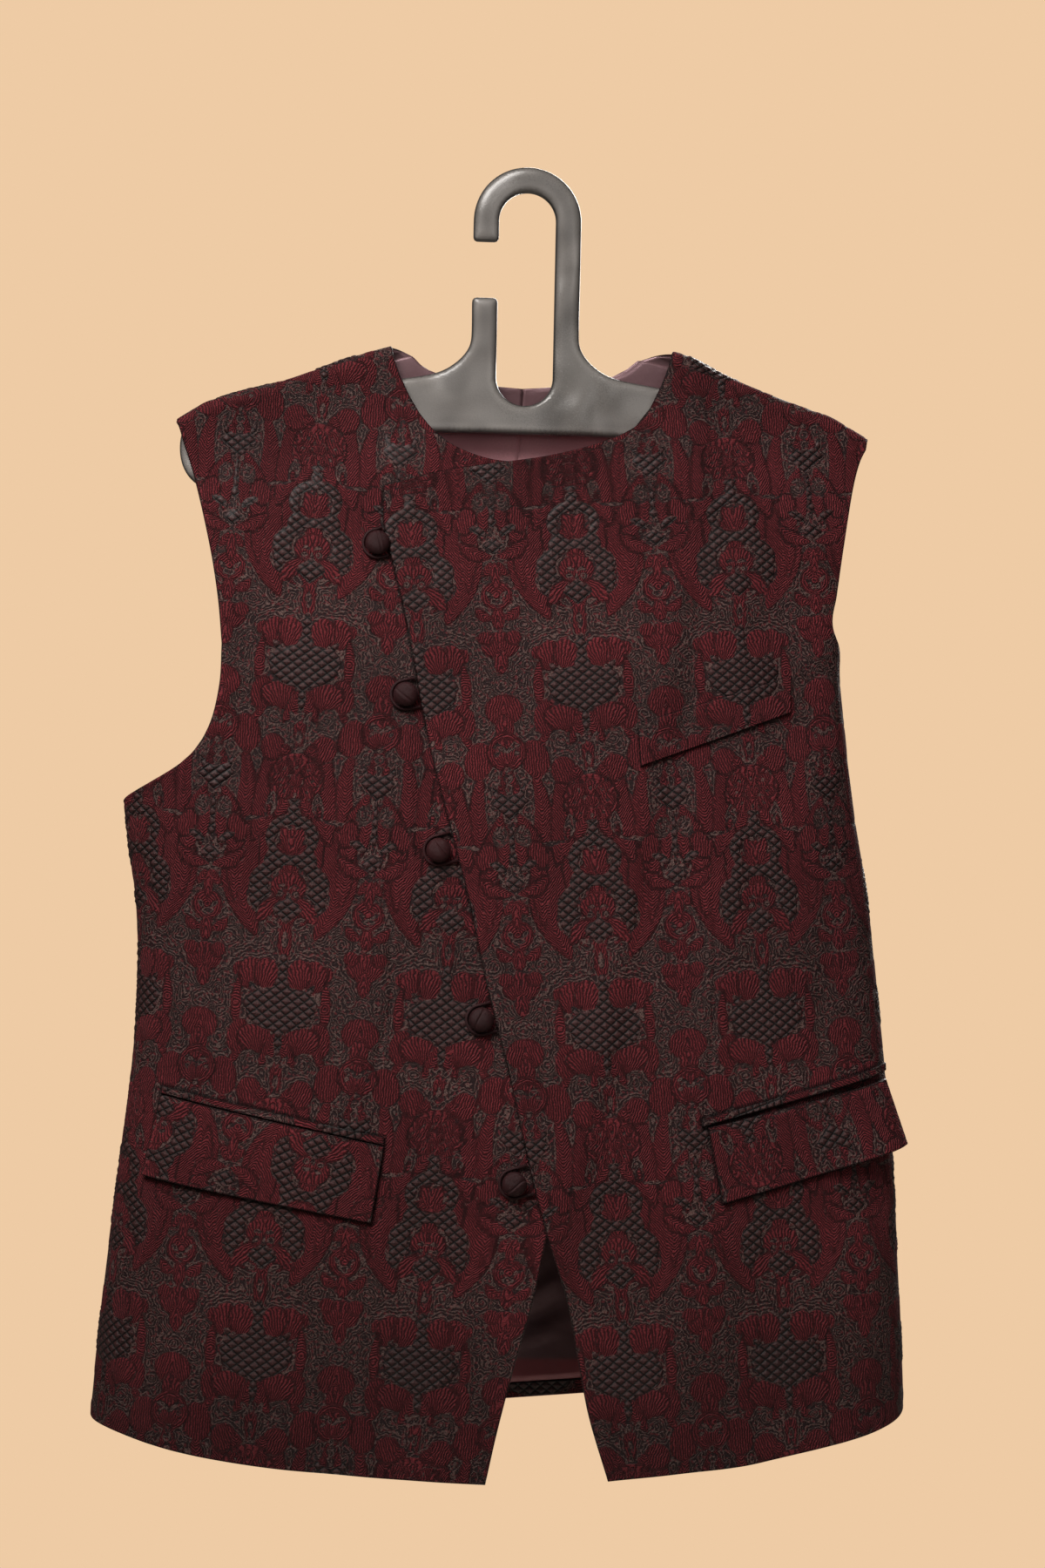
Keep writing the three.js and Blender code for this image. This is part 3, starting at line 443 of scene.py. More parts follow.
# The quilted double ring, round a palmette above and an onion-shaped leaf below.
RING_FRAME = """
    pad oval 0 108 16.5 14; pad oval 0 136.5 25 15; pad petal 21 136 14 159 4.2 2;
    pad oval 9.5 123 7 7.5; pad oval 0 92 3.6 4.5; pad oval 0 86 4 1.8;
    clear oval 0 110 10.4 9.4; clear oval 0 137.5 12.6 12; clear petal 2 143 19 160 5.4 1;
    lay petal 3 145 19 161 5.2 1 fan; cut petal 24 137 15 157 1 5;
    lay petal 3 119.5 9.6 112 3.2 1 fan; lay petal 1 119.5 6.6 101.5 4.6 1.2 fan;
    lay petal 0 119 0 100.5 1.9 0 long; lay petal 0 148 0 122 7.2 0 long;
    lay oval 0 138.5 11.4 9 fan; cut petal 0.5 139.5 7 139 1.2 1.2; cut oval 4.6 143 2.1 1.9;
    cut petal 0 141 0 149 1.2; pad lozenge 0 153 9.5 8.5; pad oval 0 151 7.8 3.6;
    cut petal 4 163 12 158 2 1; cut oval 0 171.5 2 5; cut petal 5 172 11 178 2;
    cut oval 26 176 15 6.5 -4;
"""
# The column half-way: buds, rosette, goblet, little diamond and palmettes.
SIDE_COLUMN = """
    lay oval 50.5 -27 12 9 fan; lay oval 41.5 -32 5 4.5; lay petal 50.5 -8 50.5 -24 4.5 0 long;
    lay oval 50.5 14 12 10; lay petal 50.5 36 50.5 16 6 0 fan; lay oval 50.5 40 12 12 round;
    lay oval 50.5 40 8 8.5 fan; cut petal 50.5 41 41.5 36 1.7 -1.6; cut oval 44.5 41 1.5 1.5;
    lay petal 48.5 50 42.5 68 3.6 3; cut oval 50.5 51 1.8 1.8; pad oval 50.5 56.5 2.8 3;
    pad oval 50.5 62 1.8 2.2; lay petal 45.5 78 33.5 128 7 -2; lay petal 47.5 84 43.5 118 4 0;
    lay oval 34.5 104 6 9 20; pad lozenge 50.5 71 11.5 11.5; clear oval 50.5 61 7 6;
    lay petal 44.5 60 47.5 68 2.4; pad petal 43.5 70 40.5 59 1.5; pad petal 50.5 78 50.5 116 1.5;
    pad oval 50.5 96 1.9 3; pad oval 50.5 105 2.5 3.4; pad lozenge 50.5 121 7 5.6;
    pad petal 35.5 108 46.5 115 2.5 1; cut oval 43.5 92 4.6 6.5 10; coil 43.5 92 5;
    lay petal 49.5 128 28.5 117 4.4 3; lay petal 48.5 131 42.5 141 3 1;
    lay oval 50.5 153 10 9.5 round; lay petal 50.5 150 50.5 131 3.2 0 long;
    cut oval 50.5 157 4.4 1.9; cut petal 48.5 155 43.5 150 1.4; lay oval 50.5 168 4.5 7;
    lay petal 47.5 168 36.5 160 3.6 2; coil 38.5 142 5; coil 50.5 -1 8 -1; coil 37.5 6 5
"""


@dataclass
class Chart:
    """The damask's repeat, charted on whole millimetres.

    ``x`` is the distance from the main column's axis, folded at the column half-way to the
    next one, and ``y`` runs down from the middle of the bowl. Each field is a distance in
    millimetres that is positive inside its shapes.
    """

    across: Array
    down: Array
    wide: float = 101.0
    tall: float = 212.0
    far: float = -9.0
    x: Array = field(init=False)
    leaf: Array = field(init=False)
    quilt: Array = field(init=False)
    rib: Array = field(init=False)
    curl: Array = field(init=False)
    curl_phase: Array = field(init=False)

    def __post_init__(self) -> None:
        """Fold the cloth into one half column and lay every mark on it in turn."""
        turn = np.mod(self.across / self.wide + 0.5, 1.0) - 0.5
        self.x = np.abs(turn) * self.wide
        self.leaf, self.quilt, self.curl = (np.full_like(self.x, self.far) for _ in range(3))
        self.rib, self.curl_phase = np.zeros_like(self.x), np.zeros_like(self.x)
        for mark in (MAIN_COLUMN + RING_FRAME + SIDE_COLUMN).split(";"):
            act, *words = mark.split()
            self.lay_mark(Act(act), words)

    def local(self, x: float, y: float) -> tuple[Array, Array]:
        """Steps from a place of the repeat to each point, the nearest way down or up."""
        return self.x - x, np.mod(self.down - y + self.tall / 2, self.tall) - self.tall / 2

    def oval(self, x: float, y: float, rx: float, ry: float, turn: float = 0.0) -> Array:
        """Distance inside an oval: its least half width times one less the scaled radius.

        Args:
            x: across.
            y: down.
            rx: half width.
            ry: half height.
            turn: its turn in degrees.

        Returns:
            The distance at each point.
        """
        dx, dy = self.local(x, y)
        c, s = math.cos(math.radians(turn)), math.sin(math.radians(turn))
        u, v = dx * c + dy * s, dy * c - dx * s
        return min(rx, ry) * (1.0 - np.hypot(u / rx, v / ry))

    def lozenge(self, x: float, y: float, half: float, tall: float) -> Array:
        """Distance inside a lozenge, from the sum of the scaled steps."""
        across, down = (np.abs(step) for step in self.local(x, y))
        return half * tall / math.hypot(half, tall) * (1.0 - across / half - down / tall)

    def along(self, x0: float, y0: float, x1: float, y1: float,
              bend: float = 0.0) -> tuple[Array, Array, float]:
        """The share along a line that bows to its right, the distance across, and its length.

        Args:
            x0: the first end, across.
            y0: the first end, down.
            x1: the second end, across.
            y1: the second end, down.
            bend: how far the line bows.

        Returns:
            The share, the distance and the length.
        """
        dx, dy = self.local(x0, y0)
        length = math.hypot(x1 - x0, y1 - y0)
        ux, uy = (x1 - x0) / length, (y1 - y0) / length
        along = (dx * ux + dy * uy) / length
        share = np.clip(along, 0.0, 1.0)
        return along, dx * uy - dy * ux - bend * 4 * share * (1 - share), length

    def petal(self, x0: float, y0: float, x1: float, y1: float, wide: float,
              bend: float = 0.0) -> Array:
        """Distance inside a pointed leaf whose half width follows a sine along its line.

        Args:
            x0: the first end, across.
            y0: the first end, down.
            x1: the second end, across.
            y1: the second end, down.
            wide: half width.
            bend: how far the line bows.

        Returns:
            The distance at each point.
        """
        along, off, length = self.along(x0, y0, x1, y1, bend)
        full = wide * np.sin(math.pi * np.clip(along, 0.0, 1.0)) ** 0.7
        past = np.maximum(np.maximum(-along, along - 1.0), 0.0) * length
        return full - np.hypot(off, past) - 0.3 * past

    def ribs(self, kind: Rib, line: tuple[Array, Array, float]) -> Array:
        """The phase of fine ribs in millimetres, whose multiples of the pitch are the ribs.

        Args:
            kind: how the ribs run.
            line: what ``along`` gives for their line.

        Returns:
            The phase at each point.
        """
        along, off, length = line
        far = along * length
        if kind is Rib.CHEVRON:
            return far * 0.8 + np.abs(off) * 0.95
        if kind is Rib.FAN:
            return np.arctan2(off, far + 6.0) * 15.0
        if kind is Rib.ROUND:
            return np.hypot(off, (along - 0.5) * length)
        return off + 0.25 * far

    def lay_mark(self, act: Act, words: list[str]) -> None:
        """Lay one mark.

        A leaf is laid over the leaves below, so that its outline stays as a dark vein. A cut
        lets the ground through the leaves, a pad lies over everything, and clear opens a hole
        in the pads.

        Args:
            act: what is done.
            words: the shape's name, its numbers, and the ribs' name where it isn't the usual.
        """
        sizes = [float(word) for word in words if not word.isalpha()]
        if act is Act.COIL:
            self.coil(*sizes)
            return
        shapes = {"oval": self.oval, "petal": self.petal, "lozenge": self.lozenge}
        inside = shapes[words[0]](*sizes)
        if act is Act.LAY:
            if words[0] == "petal":
                kind, line = Rib.CHEVRON, self.along(*sizes[:4], *sizes[5:])
            else:
                x, y, _, ry, turn = (sizes + [0.0])[:5]
                sway = math.sin(math.radians(turn)) * ry
                kind, line = Rib.LONG, self.along(x + sway, y + ry, x - sway, y - ry)
            kind = Rib(words[-1]) if words[-1].isalpha() else kind
            self.leaf = np.maximum(inside, np.minimum(self.leaf, -inside))
            self.rib = np.where(inside > 0, self.ribs(kind, line), self.rib)
        elif act is Act.CLEAR:
            self.quilt = np.minimum(self.quilt, -inside)
        else:
            if act is Act.PAD:
                self.quilt = np.maximum(self.quilt, inside)
            self.leaf = np.minimum(self.leaf, -inside)

    def coil(self, x: float, y: float, radius: float, way: float = 1.0) -> None:
        """Coil the ground's fine lines round a place, either way, out to a radius.

        Args:
            x: across.
            y: down.
            radius: the coil's reach.
            way: 1 or -1, the way it turns.
        """
        dx, dy = self.local(x, y)
        far = np.hypot(dx, dy)
        phase = far + way * np.arctan2(dy, dx) * (SCROLL_PITCH / (2 * math.pi))
        inside = radius - far
        self.curl_phase = np.where(inside > np.maximum(self.curl, 0.0), phase, self.curl_phase)
        self.curl = np.maximum(self.curl, inside)


@dataclass(frozen=True)
class Cut:
    """How a piece was cut from the cloth: which point of the repeat lies where, and the lean.

    ``s`` and ``z`` are the place of a bowl's middle on the body, and ``above`` is how much more
    cloth a length holds above that place.
    """

    s: float
    z: float
    lean: float = 0.0
    above: float = 1.0
    upside_down: bool = False

    def cloth(self, s: Array, z: Array) -> tuple[Array, Array]:
        """Places on the cloth, across and down, for places on the body.

        Args:
            s: walk lengths.
            z: heights.

        Returns:
            Across and down, in millimetres.
        """
        ds, dz = s - self.s, z - self.z
        c, k = math.cos(math.radians(self.lean)), math.sin(math.radians(self.lean))
        across, down = ds * c + dz * k, ds * k - dz * c
        down = down * np.where(down < 0, self.above, 1.0)
        return (-across, -down) if self.upside_down else (across, down)


@dataclass(frozen=True)
class Relief:
    """How far the weave's parts stand up, in millimetres."""

    pad: float = 0.95
    leaf: float = 0.28
    sunk: float = 0.3

    def height(self, across: Array, down: Array, chart: Chart) -> Array:
        """Pads puff up between crossing lines by the root of the two sines' product.

        Args:
            across: places across the cloth.
            down: places down the cloth.
            chart: the weave there.

        Returns:
            The height at each place.
        """
        p = across / DIAMOND_WIDE + down / DIAMOND_TALL
        q = across / DIAMOND_WIDE - down / DIAMOND_TALL
        puff = np.sqrt(np.abs(np.sin(math.pi * p) * np.sin(math.pi * q)))
        pads = self.pad * puff * smooth(chart.quilt / 1.0)
        return pads + self.leaf * smooth(chart.leaf / 1.6) - self.sunk


def ring_of(rows: int, columns: int) -> Array:
    """Indices round the border of a grid, as a closed walk from its first corner."""
    grid = np.arange(rows * columns).reshape(rows, columns)
    return np.concatenate([grid[0, :-1], grid[:-1, -1], grid[-1, :0:-1], grid[:0:-1, 0]])


def quads_of(rows: int, columns: int) -> Array:
    """The four corners of every cell of a grid."""
    grid = np.arange(rows * columns).reshape(rows, columns)
    return np.stack([grid[:-1, :-1], grid[:-1, 1:], grid[1:, 1:], grid[1:, :-1]],
                    axis=-1).reshape(-1, 4)


@dataclass
class Shell:
    """A closed sheet: a fine outer grid, a coarse inner one, and the rim between them.

    The outer grid has ``ratio`` cells for every inner cell along both ways. On the rim each
    inner edge fans out to the outer edges that it spans.
    """

    name: str
    outer: Array
    inner: Array
    ratio: int
    across: Array
    down: Array
    fields: dict[str, Array]

    def rim(self, fine: Array, coarse: Array) -> Array:
        """Triangles between a fine closed ring and a coarse one.

        Args:
            fine: the fine ring's points.
            coarse: the coarse ring's points.

        Returns:
            Three corners for each triangle.
        """
        r, n, m = self.ratio, len(fine), len(coarse)
        step = np.arange(n)
        near = ((step + (r + 1) // 2) // r) % m
        fans = np.stack([fine[step], fine[(step + 1) % n], coarse[near]], axis=1)
        change = np.flatnonzero(near != np.roll(near, -1))
        joins = np.stack([coarse[near[change]], fine[(change + 1) % n],
                          coarse[near[(change + 1) % n]]], axis=1)
        return np.concatenate([fans, joins])

    def build(self, materials: list[Material]) -> Thing:
        """Put the sheet into a mesh.

        Args:
            materials: for the outer face with its rim, and for the inner face.

        Returns:
            The object, linked and smooth apart from its rim.
        """
        (rows, columns), (low_rows, low_columns) = self.outer.shape[:2], self.inner.shape[:2]
        count = rows * columns
        points = np.concatenate([self.outer.reshape(-1, 3), self.inner.reshape(-1, 3)])
        top = quads_of(rows, columns)
        under = quads_of(low_rows, low_columns)[:, ::-1] + count
        rim = self.rim(ring_of(rows, columns), ring_of(low_rows, low_columns) + count)[:, ::-1]
        a, b, _, d = (points[top[:, k]] for k in range(4))
        ahead = self.outer[::self.ratio, ::self.ratio] - self.inner
        if np.cross(b - a, d - a).sum(axis=0) @ ahead.sum(axis=(0, 1)) < 0:
            top, under, rim = top[:, ::-1], under[:, ::-1], rim[:, ::-1]
        made = mesh_object(self.name, points, [(top, 0, True), (under, 1, True), (rim, 0, False)],
                           materials)
        pad = np.zeros(len(points) - count)
        padded = [np.concatenate([value.ravel(), pad])
                  for value in (self.across, self.down, *self.fields.values())]
        dress_with(made, dict(zip(self.fields, padded[2:])), np.stack(padded[:2], axis=1))
        return made


def mesh_object(name: str, points: Array, blocks: list[tuple[Array, int, bool]],
                materials: list[Material]) -> Thing:
    """An object from points in millimetres and blocks of faces.

    Args:
        name: the piece's name.
        points: one row of x, y and z per point.
        blocks: faces with one row of corners each, their material slot, and whether they are
            smooth.
        materials: the slots' materials.

    Returns:
        The object, in the scene.
    """
    mesh = bpy.data.meshes.new(name)
    mesh.vertices.add(len(points))
    mesh.vertices.foreach_set("co", (np.asarray(points, np.float32) * MM).ravel())
    sizes, slots, soft = (np.repeat(values, [len(faces) for faces, _, _ in blocks]) for values in (
        [faces.shape[1] for faces, _, _ in blocks], *zip(*(block[1:] for block in blocks))))
    corners = np.concatenate([faces.ravel() for faces, _, _ in blocks]).astype(np.int32)
    mesh.loops.add(len(corners))
    mesh.loops.foreach_set("vertex_index", corners)
    mesh.polygons.add(len(sizes))
    starts = np.concatenate([[0], np.cumsum(sizes)[:-1]]).astype(np.int32)
    mesh.polygons.foreach_set("loop_start", starts)
    mesh.polygons.foreach_set("material_index", slots.astype(np.int32))
    mesh.polygons.foreach_set("use_smooth", soft)
    for material in materials:
        mesh.materials.append(material)
    mesh.update(calc_edges=True)
    mesh.validate()
    made = bpy.data.objects.new(name, mesh)
    bpy.context.scene.collection.objects.link(made)
    return made


def dress_with(made: Thing, fields: dict[str, Array], cloth: Array | None = None) -> None:
    """Give a mesh its fields, one number per point, and a UV map of the cloth.

    Args:
        made: the object.
        fields: values by name.
        cloth: each point's place on the cloth, across and down.
    """
    mesh = made.data
    for key, value in fields.items():
        layer = mesh.attributes.new(key, "FLOAT", "POINT")
        layer.data.foreach_set("value", np.asarray(value, np.float32).ravel())
    if cloth is not None:
        corner = np.empty(len(mesh.loops), np.int32)
        mesh.loops.foreach_get("vertex_index", corner)
        layer = mesh.uv_layers.new(name="cloth")
        layer.data.foreach_set("uv", (cloth[corner] * MM).astype(np.float32).ravel())


@dataclass(frozen=True)
class Roll:
    """Where a panel's shoulder seam lies past the shoulder line, by angle and by x."""

    neck: float
    tip: float
    neck_x: float
    tip_x: float


@dataclass
class Face:
    """A panel's outer face on a grid, before its weave stands up."""

    points: Array
    normals: Array
    s: Array
    z: Array

    def border(self) -> Array:
        """Distance of every point from the nearest edge, walked along its row or column.

        Returns:
            The distance at each point.
        """
        found = []
        for axis in (0, 1):
            step = np.linalg.norm(np.diff(self.points, axis=axis), axis=-1)
            walked = np.cumsum(step, axis=axis)
            walked = np.concatenate([np.zeros_like(walked.take([0], axis)), walked], axis=axis)
            found += [walked, walked.take([-1], axis) - walked]
        return np.minimum.reduce(found)

    def area(self) -> float:
        """The cut's area in square metres: its cells' areas as walked along and up.

        Returns:
            The area.
        """
        ds, dz = self.s, self.z
        d1 = (ds[1:, 1:] - ds[:-1, :-1], dz[1:, 1:] - dz[:-1, :-1])
        d2 = (ds[1:, :-1] - ds[:-1, 1:], dz[1:, :-1] - dz[:-1, 1:])
        return float(np.abs(d1[0] * d2[1] - d1[1] * d2[0]).sum() / 2 * MM * MM)


@dataclass(frozen=True)
class Edge:
    """How a sewn edge ends: it rounds over, and its turned-in allowance shows inside it."""

    radius: float = 1.2
    allowance: float = 0.22
    inset: float = 7.0
    spread: float = 3.5

    def fall(self, border: Array) -> Array:
        """A quarter round next to the edge, and a soft bell over the allowance.

        Args:
            border: distances from the edge.

        Returns:
            How far the cloth moves out.
        """
        over = 1.0 - np.clip(border / self.radius, 0.0, 1.0)
        bell = self.allowance * np.exp(-(((border - self.inset) / self.spread) ** 2))
        return bell - self.radius * (1.0 - np.sqrt(1.0 - over * over))


def edge_lines(cells: int, length: float, weights: Array | None = None) -> Array:
    """Shares of a length for a grid's lines, with some close to both ends for the round edge.

    Args:
        cells: how many cells the lines make.
        length: the length in millimetres.
        weights: how dense the lines are at even shares of the length.

    Returns:
        The lines' shares, one more than the cells.
    """
    *near, first = np.array(EDGE_LINES) / length
    near = np.array(near)
    even = np.linspace(0.0, 1.0, cells + 1 - 2 * len(near))
    if weights is not None:
        walked = np.concatenate([[0.0], np.cumsum((weights[1:] + weights[:-1]) / 2)])
        even = np.interp(even, walked / walked[-1], np.linspace(0.0, 1.0, len(weights)))
    return np.concatenate([near, first + even * (1 - 2 * first), 1.0 - near[::-1]])


def depth_in(ring: Array, at: Array) -> Array:
    """Signed distance from a closed outline, positive inside it.

    Args:
        ring: the outline's points, in two numbers each.
        at: the places, in two numbers each.

    Returns:
        For each place the distance from the nearest side, with a minus sign where a line drawn
        from the place crosses the outline an even number of times.
    """
    start, side = ring, np.roll(ring, -1, axis=0) - ring
    end = start + side
    tall = np.where(side[:, 1] == 0, 1.0, side[:, 1])
    long = (side * side).sum(axis=-1)
    out = np.empty(len(at))
    for low in range(0, len(at), DEPTH_BATCH):
        part = at[low:low + DEPTH_BATCH, None]
        step = part - start
        share = np.clip((step * side).sum(axis=-1) / long, 0.0, 1.0)
        near = np.linalg.norm(step - side * share[..., None], axis=-1).min(axis=1)
        spans = (start[:, 1] > part[..., 1]) != (end[:, 1] > part[..., 1])
        cross = start[:, 0] + (part[..., 1] - start[:, 1]) / tall * side[:, 0]
        odd = (spans & (part[..., 0] < cross)).sum(axis=1) % 2 == 1
        out[low:low + DEPTH_BATCH] = np.where(odd, near, -near)
    return out


@dataclass
class Panel:
    """One cut piece of the vest's shell, from its hem to its shoulder seam.

    Each row runs from its inner edge to its outer edge. Past the last row the cloth rolls over
    the shoulder line.
    """

    name: str
    node: str
    body: Body
    table: Rows
    hem: Rows
    roll: Roll
    cut: Cut
    left: bool
    back: bool = False
    lifted: bool = False
    cells: tuple[int, int] = (68, 36)
    weights: tuple[float, ...] = (1.0, 1.0)
    relief: Relief = Relief()
    edge: Edge = Edge()
    ratio: int = 6
    roll_lines: int = 12
    outline_cells: tuple[int, int] = (90, 30)
    soften: float = 1.5
    sewn_on: list[Thing] = field(default_factory=list)
    laid_on: list[tuple[Array, float]] = field(default_factory=list)
    placed: dict[str, Array] = field(init=False)

    def __post_init__(self) -> None:
        """Turn the rows' ends into walk lengths and heights."""
        away = -1.0 if self.left else 1.0
        found: dict[str, list[float]] = {"innerS": [], "innerZ": [], "outerS": [], "outerZ": []}
        for inner_x, inner_z, outer_x, past, outer_z in zip(
            *(self.table[c] for c in ("innerX", "innerZ", "outerX", "past", "outerZ"))
        ):
            if np.isnan(inner_z):
                inner_z = float(self.body.ridge(inner_x)) - RIDGE_RADIUS
            if np.isnan(outer_z):
                outer_z = float(self.body.ridge(outer_x)) - RIDGE_RADIUS
            if np.isnan(past):
                outer_s = self.body.s_at(outer_z, outer_x, self.left, self.back)
            else:
                gap = SEAM_GAP if self.back else 0.0
                outer_s = self.body.fold_s(outer_z, self.left) + away * (past + gap)
            inner_s = self.body.s_at(inner_z, inner_x, self.left, self.back)
            inner_s -= away * SEAM_GAP / 2 if self.back else 0.0
            for key, value in zip(found, (inner_s, inner_z, outer_s, outer_z)):
                found[key].append(value)
        self.placed = {key: np.array(values) for key, values in found.items()}

    @property
    def last(self) -> int:
        """The step of the last row."""
        return len(self.table["corner"]) - 1

    def row(self, column: str, step: Array) -> Array:
        """A row value at steps that may be fractions, smooth between corner rows.

        Args:
            column: the value's name.
            step: steps up the panel.

        Returns:
            The value at each step.
        """
        out = np.empty_like(step)
        corners = np.flatnonzero(self.table["corner"] > 0.5)
        for first, last in zip(corners[:-1], corners[1:]):
            here = (step >= first) & (step <= last)
            keys = np.arange(first, last + 1, dtype=float)
            out[here] = hermite(keys, self.placed[column][first:last + 1], step[here])
        return out

    def place(self, step: Array, u: Array) -> tuple[Array, Array]:
        """Walk length and height at a share of a row, with the hem's and shoulder's curves.

        Args:
            step: steps up the panel.
            u: shares of a row, from its inner end.

        Returns:
            Walk lengths and heights.
        """
        s = mix(self.row("innerS", step), self.row("outerS", step), u)
        z = mix(self.row("innerZ", step), self.row("outerZ", step), u)
        z = z + self.hem.follow("u", u, "z") * smooth(1 - step / HEM_STEPS)
        end_s, end_z = (mix(self.placed[f"inner{c}"][-1], self.placed[f"outer{c}"][-1], u)
                        for c in "SZ")
        end_x = self.body.point(end_s, end_z)[..., 0]
        lift = self.body.ridge(end_x) - RIDGE_RADIUS - end_z
        return s, z + lift * smooth((step - self.last + SHOULDER_STEPS) / SHOULDER_STEPS)

    def rise(self, s: Array, z: Array, fade: Array | float = 1.0) -> Array:
        """How far the cloth stands off the body: its creases, and its lift over the other."""
        total = CREASES.lift(s, z) * fade
        return total + (overlap_lift(s, z) if self.lifted else 0.0)

    def surface(self, s: Array, z: Array) -> tuple[Array, Array]:
        """A point of the cloth away from the shoulder, and its outward direction."""
        normal = self.body.normal(s, z)
        return self.body.point(s, z) + normal * self.rise(s, z)[..., None], normal

    def steps(self, lines: int) -> Array:
        """Steps of the rows at even lengths up the panel.

        Args:
            lines: how many rows there are.

        Returns:
            One step for each row, and one more.
        """
        middle = [mix(self.placed[f"inner{c}"], self.placed[f"outer{c}"], 0.5) for c in "SZ"]
        walked = np.concatenate([[0.0], np.cumsum(np.hypot(*(np.diff(m) for m in middle)))])
        shares = edge_lines(lines + 2, walked[-1])[:-2]
        return np.interp(shares / shares[-1] * walked[-1], walked, np.arange(len(walked)))

    def face(self) -> Face:
        """The outer face: rows up to the shoulder, then the roll over it to the seam.

        On the roll, y is the radius times the cosine of the angle, and z the shoulder line less
        the radius times one less the sine.

        Returns:
            The face, before its weave stands up.
        """
        rows, columns = (cells * self.ratio for cells in self.cells)
        width = float(np.abs(self.placed["outerS"] - self.placed["innerS"]).mean())
        step, u = np.meshgrid(self.steps(rows - self.roll_lines),
                              edge_lines(columns, width, np.array(self.weights)), indexing="ij")
        s, z = self.place(step, u)
        fade = smooth((self.last - step) / FLAT_STEPS)
        normals = self.body.normal(s, z)
        rise = self.rise(s, z, fade) + PUCKERS.lift(s, z) * fade
        points = self.body.point(s, z) + normals * rise[..., None]
        t = (np.arange(1, self.roll_lines + 1) / self.roll_lines)[:, None]
        across = u[-1][None]
        start = self.body.point(s[-1], z[-1])[None, :, 0]
        x = mix(start, mix(self.roll.neck_x, self.roll.tip_x, across), t)
        angle = np.radians(mix(self.roll.neck, self.roll.tip, across)) * t
        side = 1.0 if self.back else -1.0
        ridge = self.body.ridge(x)
        slope = (self.body.ridge(x + 1) - self.body.ridge(x - 1)) / 2
        over = np.stack([-slope * np.sin(angle), side * np.cos(angle), np.sin(angle)], axis=-1)
        over /= np.linalg.norm(over, axis=-1, keepdims=True)
        rolled = np.stack([x, side * RIDGE_RADIUS * np.cos(angle),
                           ridge - RIDGE_RADIUS * (1 - np.sin(angle))], axis=-1)
        if self.lifted:
            rolled += over * (overlap_lift(s[-1], z[-1])[None] * (1 - t))[..., None]
        return Face(
            np.concatenate([points, rolled]), np.concatenate([normals, over]),
            np.concatenate([s, np.repeat(s[-1][None], self.roll_lines, axis=0)]),
            np.concatenate([z, z[-1][None] + RIDGE_RADIUS * angle]),
        )

    def outline(self) -> Array:
        """The panel's own outline up to its shoulder, in walk lengths and heights.

        Returns:
            Two numbers for each point round it.
        """
        rows, columns = self.outline_cells
        step, u = np.meshgrid(np.linspace(0.0, self.last, rows), np.linspace(0.0, 1.0, columns),
                              indexing="ij")
        s, z = self.place(step, u)
        order = ring_of(*s.shape)
        return np.stack([s.ravel()[order], z.ravel()[order]], axis=1)

    def shaded(self, face: Face, border: Array) -> Array:
        """Distance from the nearest edge, the panel's own or that of a piece laid on it.

        Each ring's distance is stretched by its share, and a larger share is a fainter line of
        painted shade.

        Args:
            face: the panel's face.
            border: distances from its own edge.

        Returns:
            The lesser distance at each point.
        """
        places = np.stack([face.s.ravel(), face.z.ravel()], axis=1)
        for ring, share in self.laid_on:
            low, high = ring.min(axis=0) - SHADE_REACH, ring.max(axis=0) + SHADE_REACH
            near = ((places > low) & (places < high)).all(axis=1)
            gap = np.full(len(places), SHADE_REACH)
            gap[near] = np.abs(depth_in(ring, places[near])) * share
            border = np.minimum(border, gap.reshape(border.shape))
        return border

    def build(self, outside: Material, inside: Material) -> Thing:
        """Build the panel, with its weave standing up outside and its plain face inside.

        Args:
            outside: the outer face's cloth.
            inside: the inner face's cloth.

        Returns:
            The panel.
        """
        face = self.face()
        across, down = self.cut.cloth(face.s, face.z)
        chart = Chart(across, down)
        border = face.border()
        lifted = self.relief.height(across, down, chart) * smooth(border / self.soften)
        lifted = lifted + self.edge.fall(border)
        r = self.ratio
        inner = (face.points - face.normals * WALL)[::r, ::r]
        piece = Shell(self.name, face.points + face.normals * lifted[..., None], inner, r,
                      across, down, cloth_fields(chart, self.shaded(face, border))
                      ).build([outside, inside])
        declare_cut(join_to_vest(piece, self.node), face, self.sewn_on)
        return piece


def join_to_vest(piece: Thing, node: str) -> Thing:
    """Ride a piece on the vest, in place of its node.

    Args:
        piece: the piece.
        node: the node that it replaces.

    Returns:
        The piece.
    """
    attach(piece, "root")
    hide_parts(node)
    return piece


def declare_cut(piece: Thing, face: Face,
                sewn_on: list[Thing] | None = None) -> None:
    """Args:
        piece: the sheet.
        face: its face, whose walk lengths and heights give the cut.
        sewn_on: the smaller pieces that are sewn on it; not used.
    """
    flat = tuple(round(float(np.ptp(a)) * MM, 4) for a in (face.s, face.z))
    area = min(face.area(), flat[0] * flat[1])
    LOG.info("%s: cut %.3f by %.3f m, %.4f square metres", piece.name, *flat, area)
    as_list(sewn_on or [])


def cloth_fields(chart: Chart, border: Array) -> dict[str, Array]:
    """The fields that the cloth's finish reads: its chart, and the distance from its edge for
    painted shade.

    The ground's lines run along the motifs' outlines, except in the coils.

    Args:
        chart: the weave.
        border: distances from the edge.

    Returns:
        Values by the field's name.
    """
    outline = -np.maximum(chart.leaf, chart.quilt)
    scroll = np.where(chart.curl > 0, chart.curl_phase, outline)
    return {
        "leaf": np.clip(chart.leaf, -4.0, 4.0), "quilt": np.clip(chart.quilt, -4.0, 4.0),
        "rib": chart.rib, "scroll": scroll, "edge": np.clip(border, 0.0, SHADE_REACH),
    }


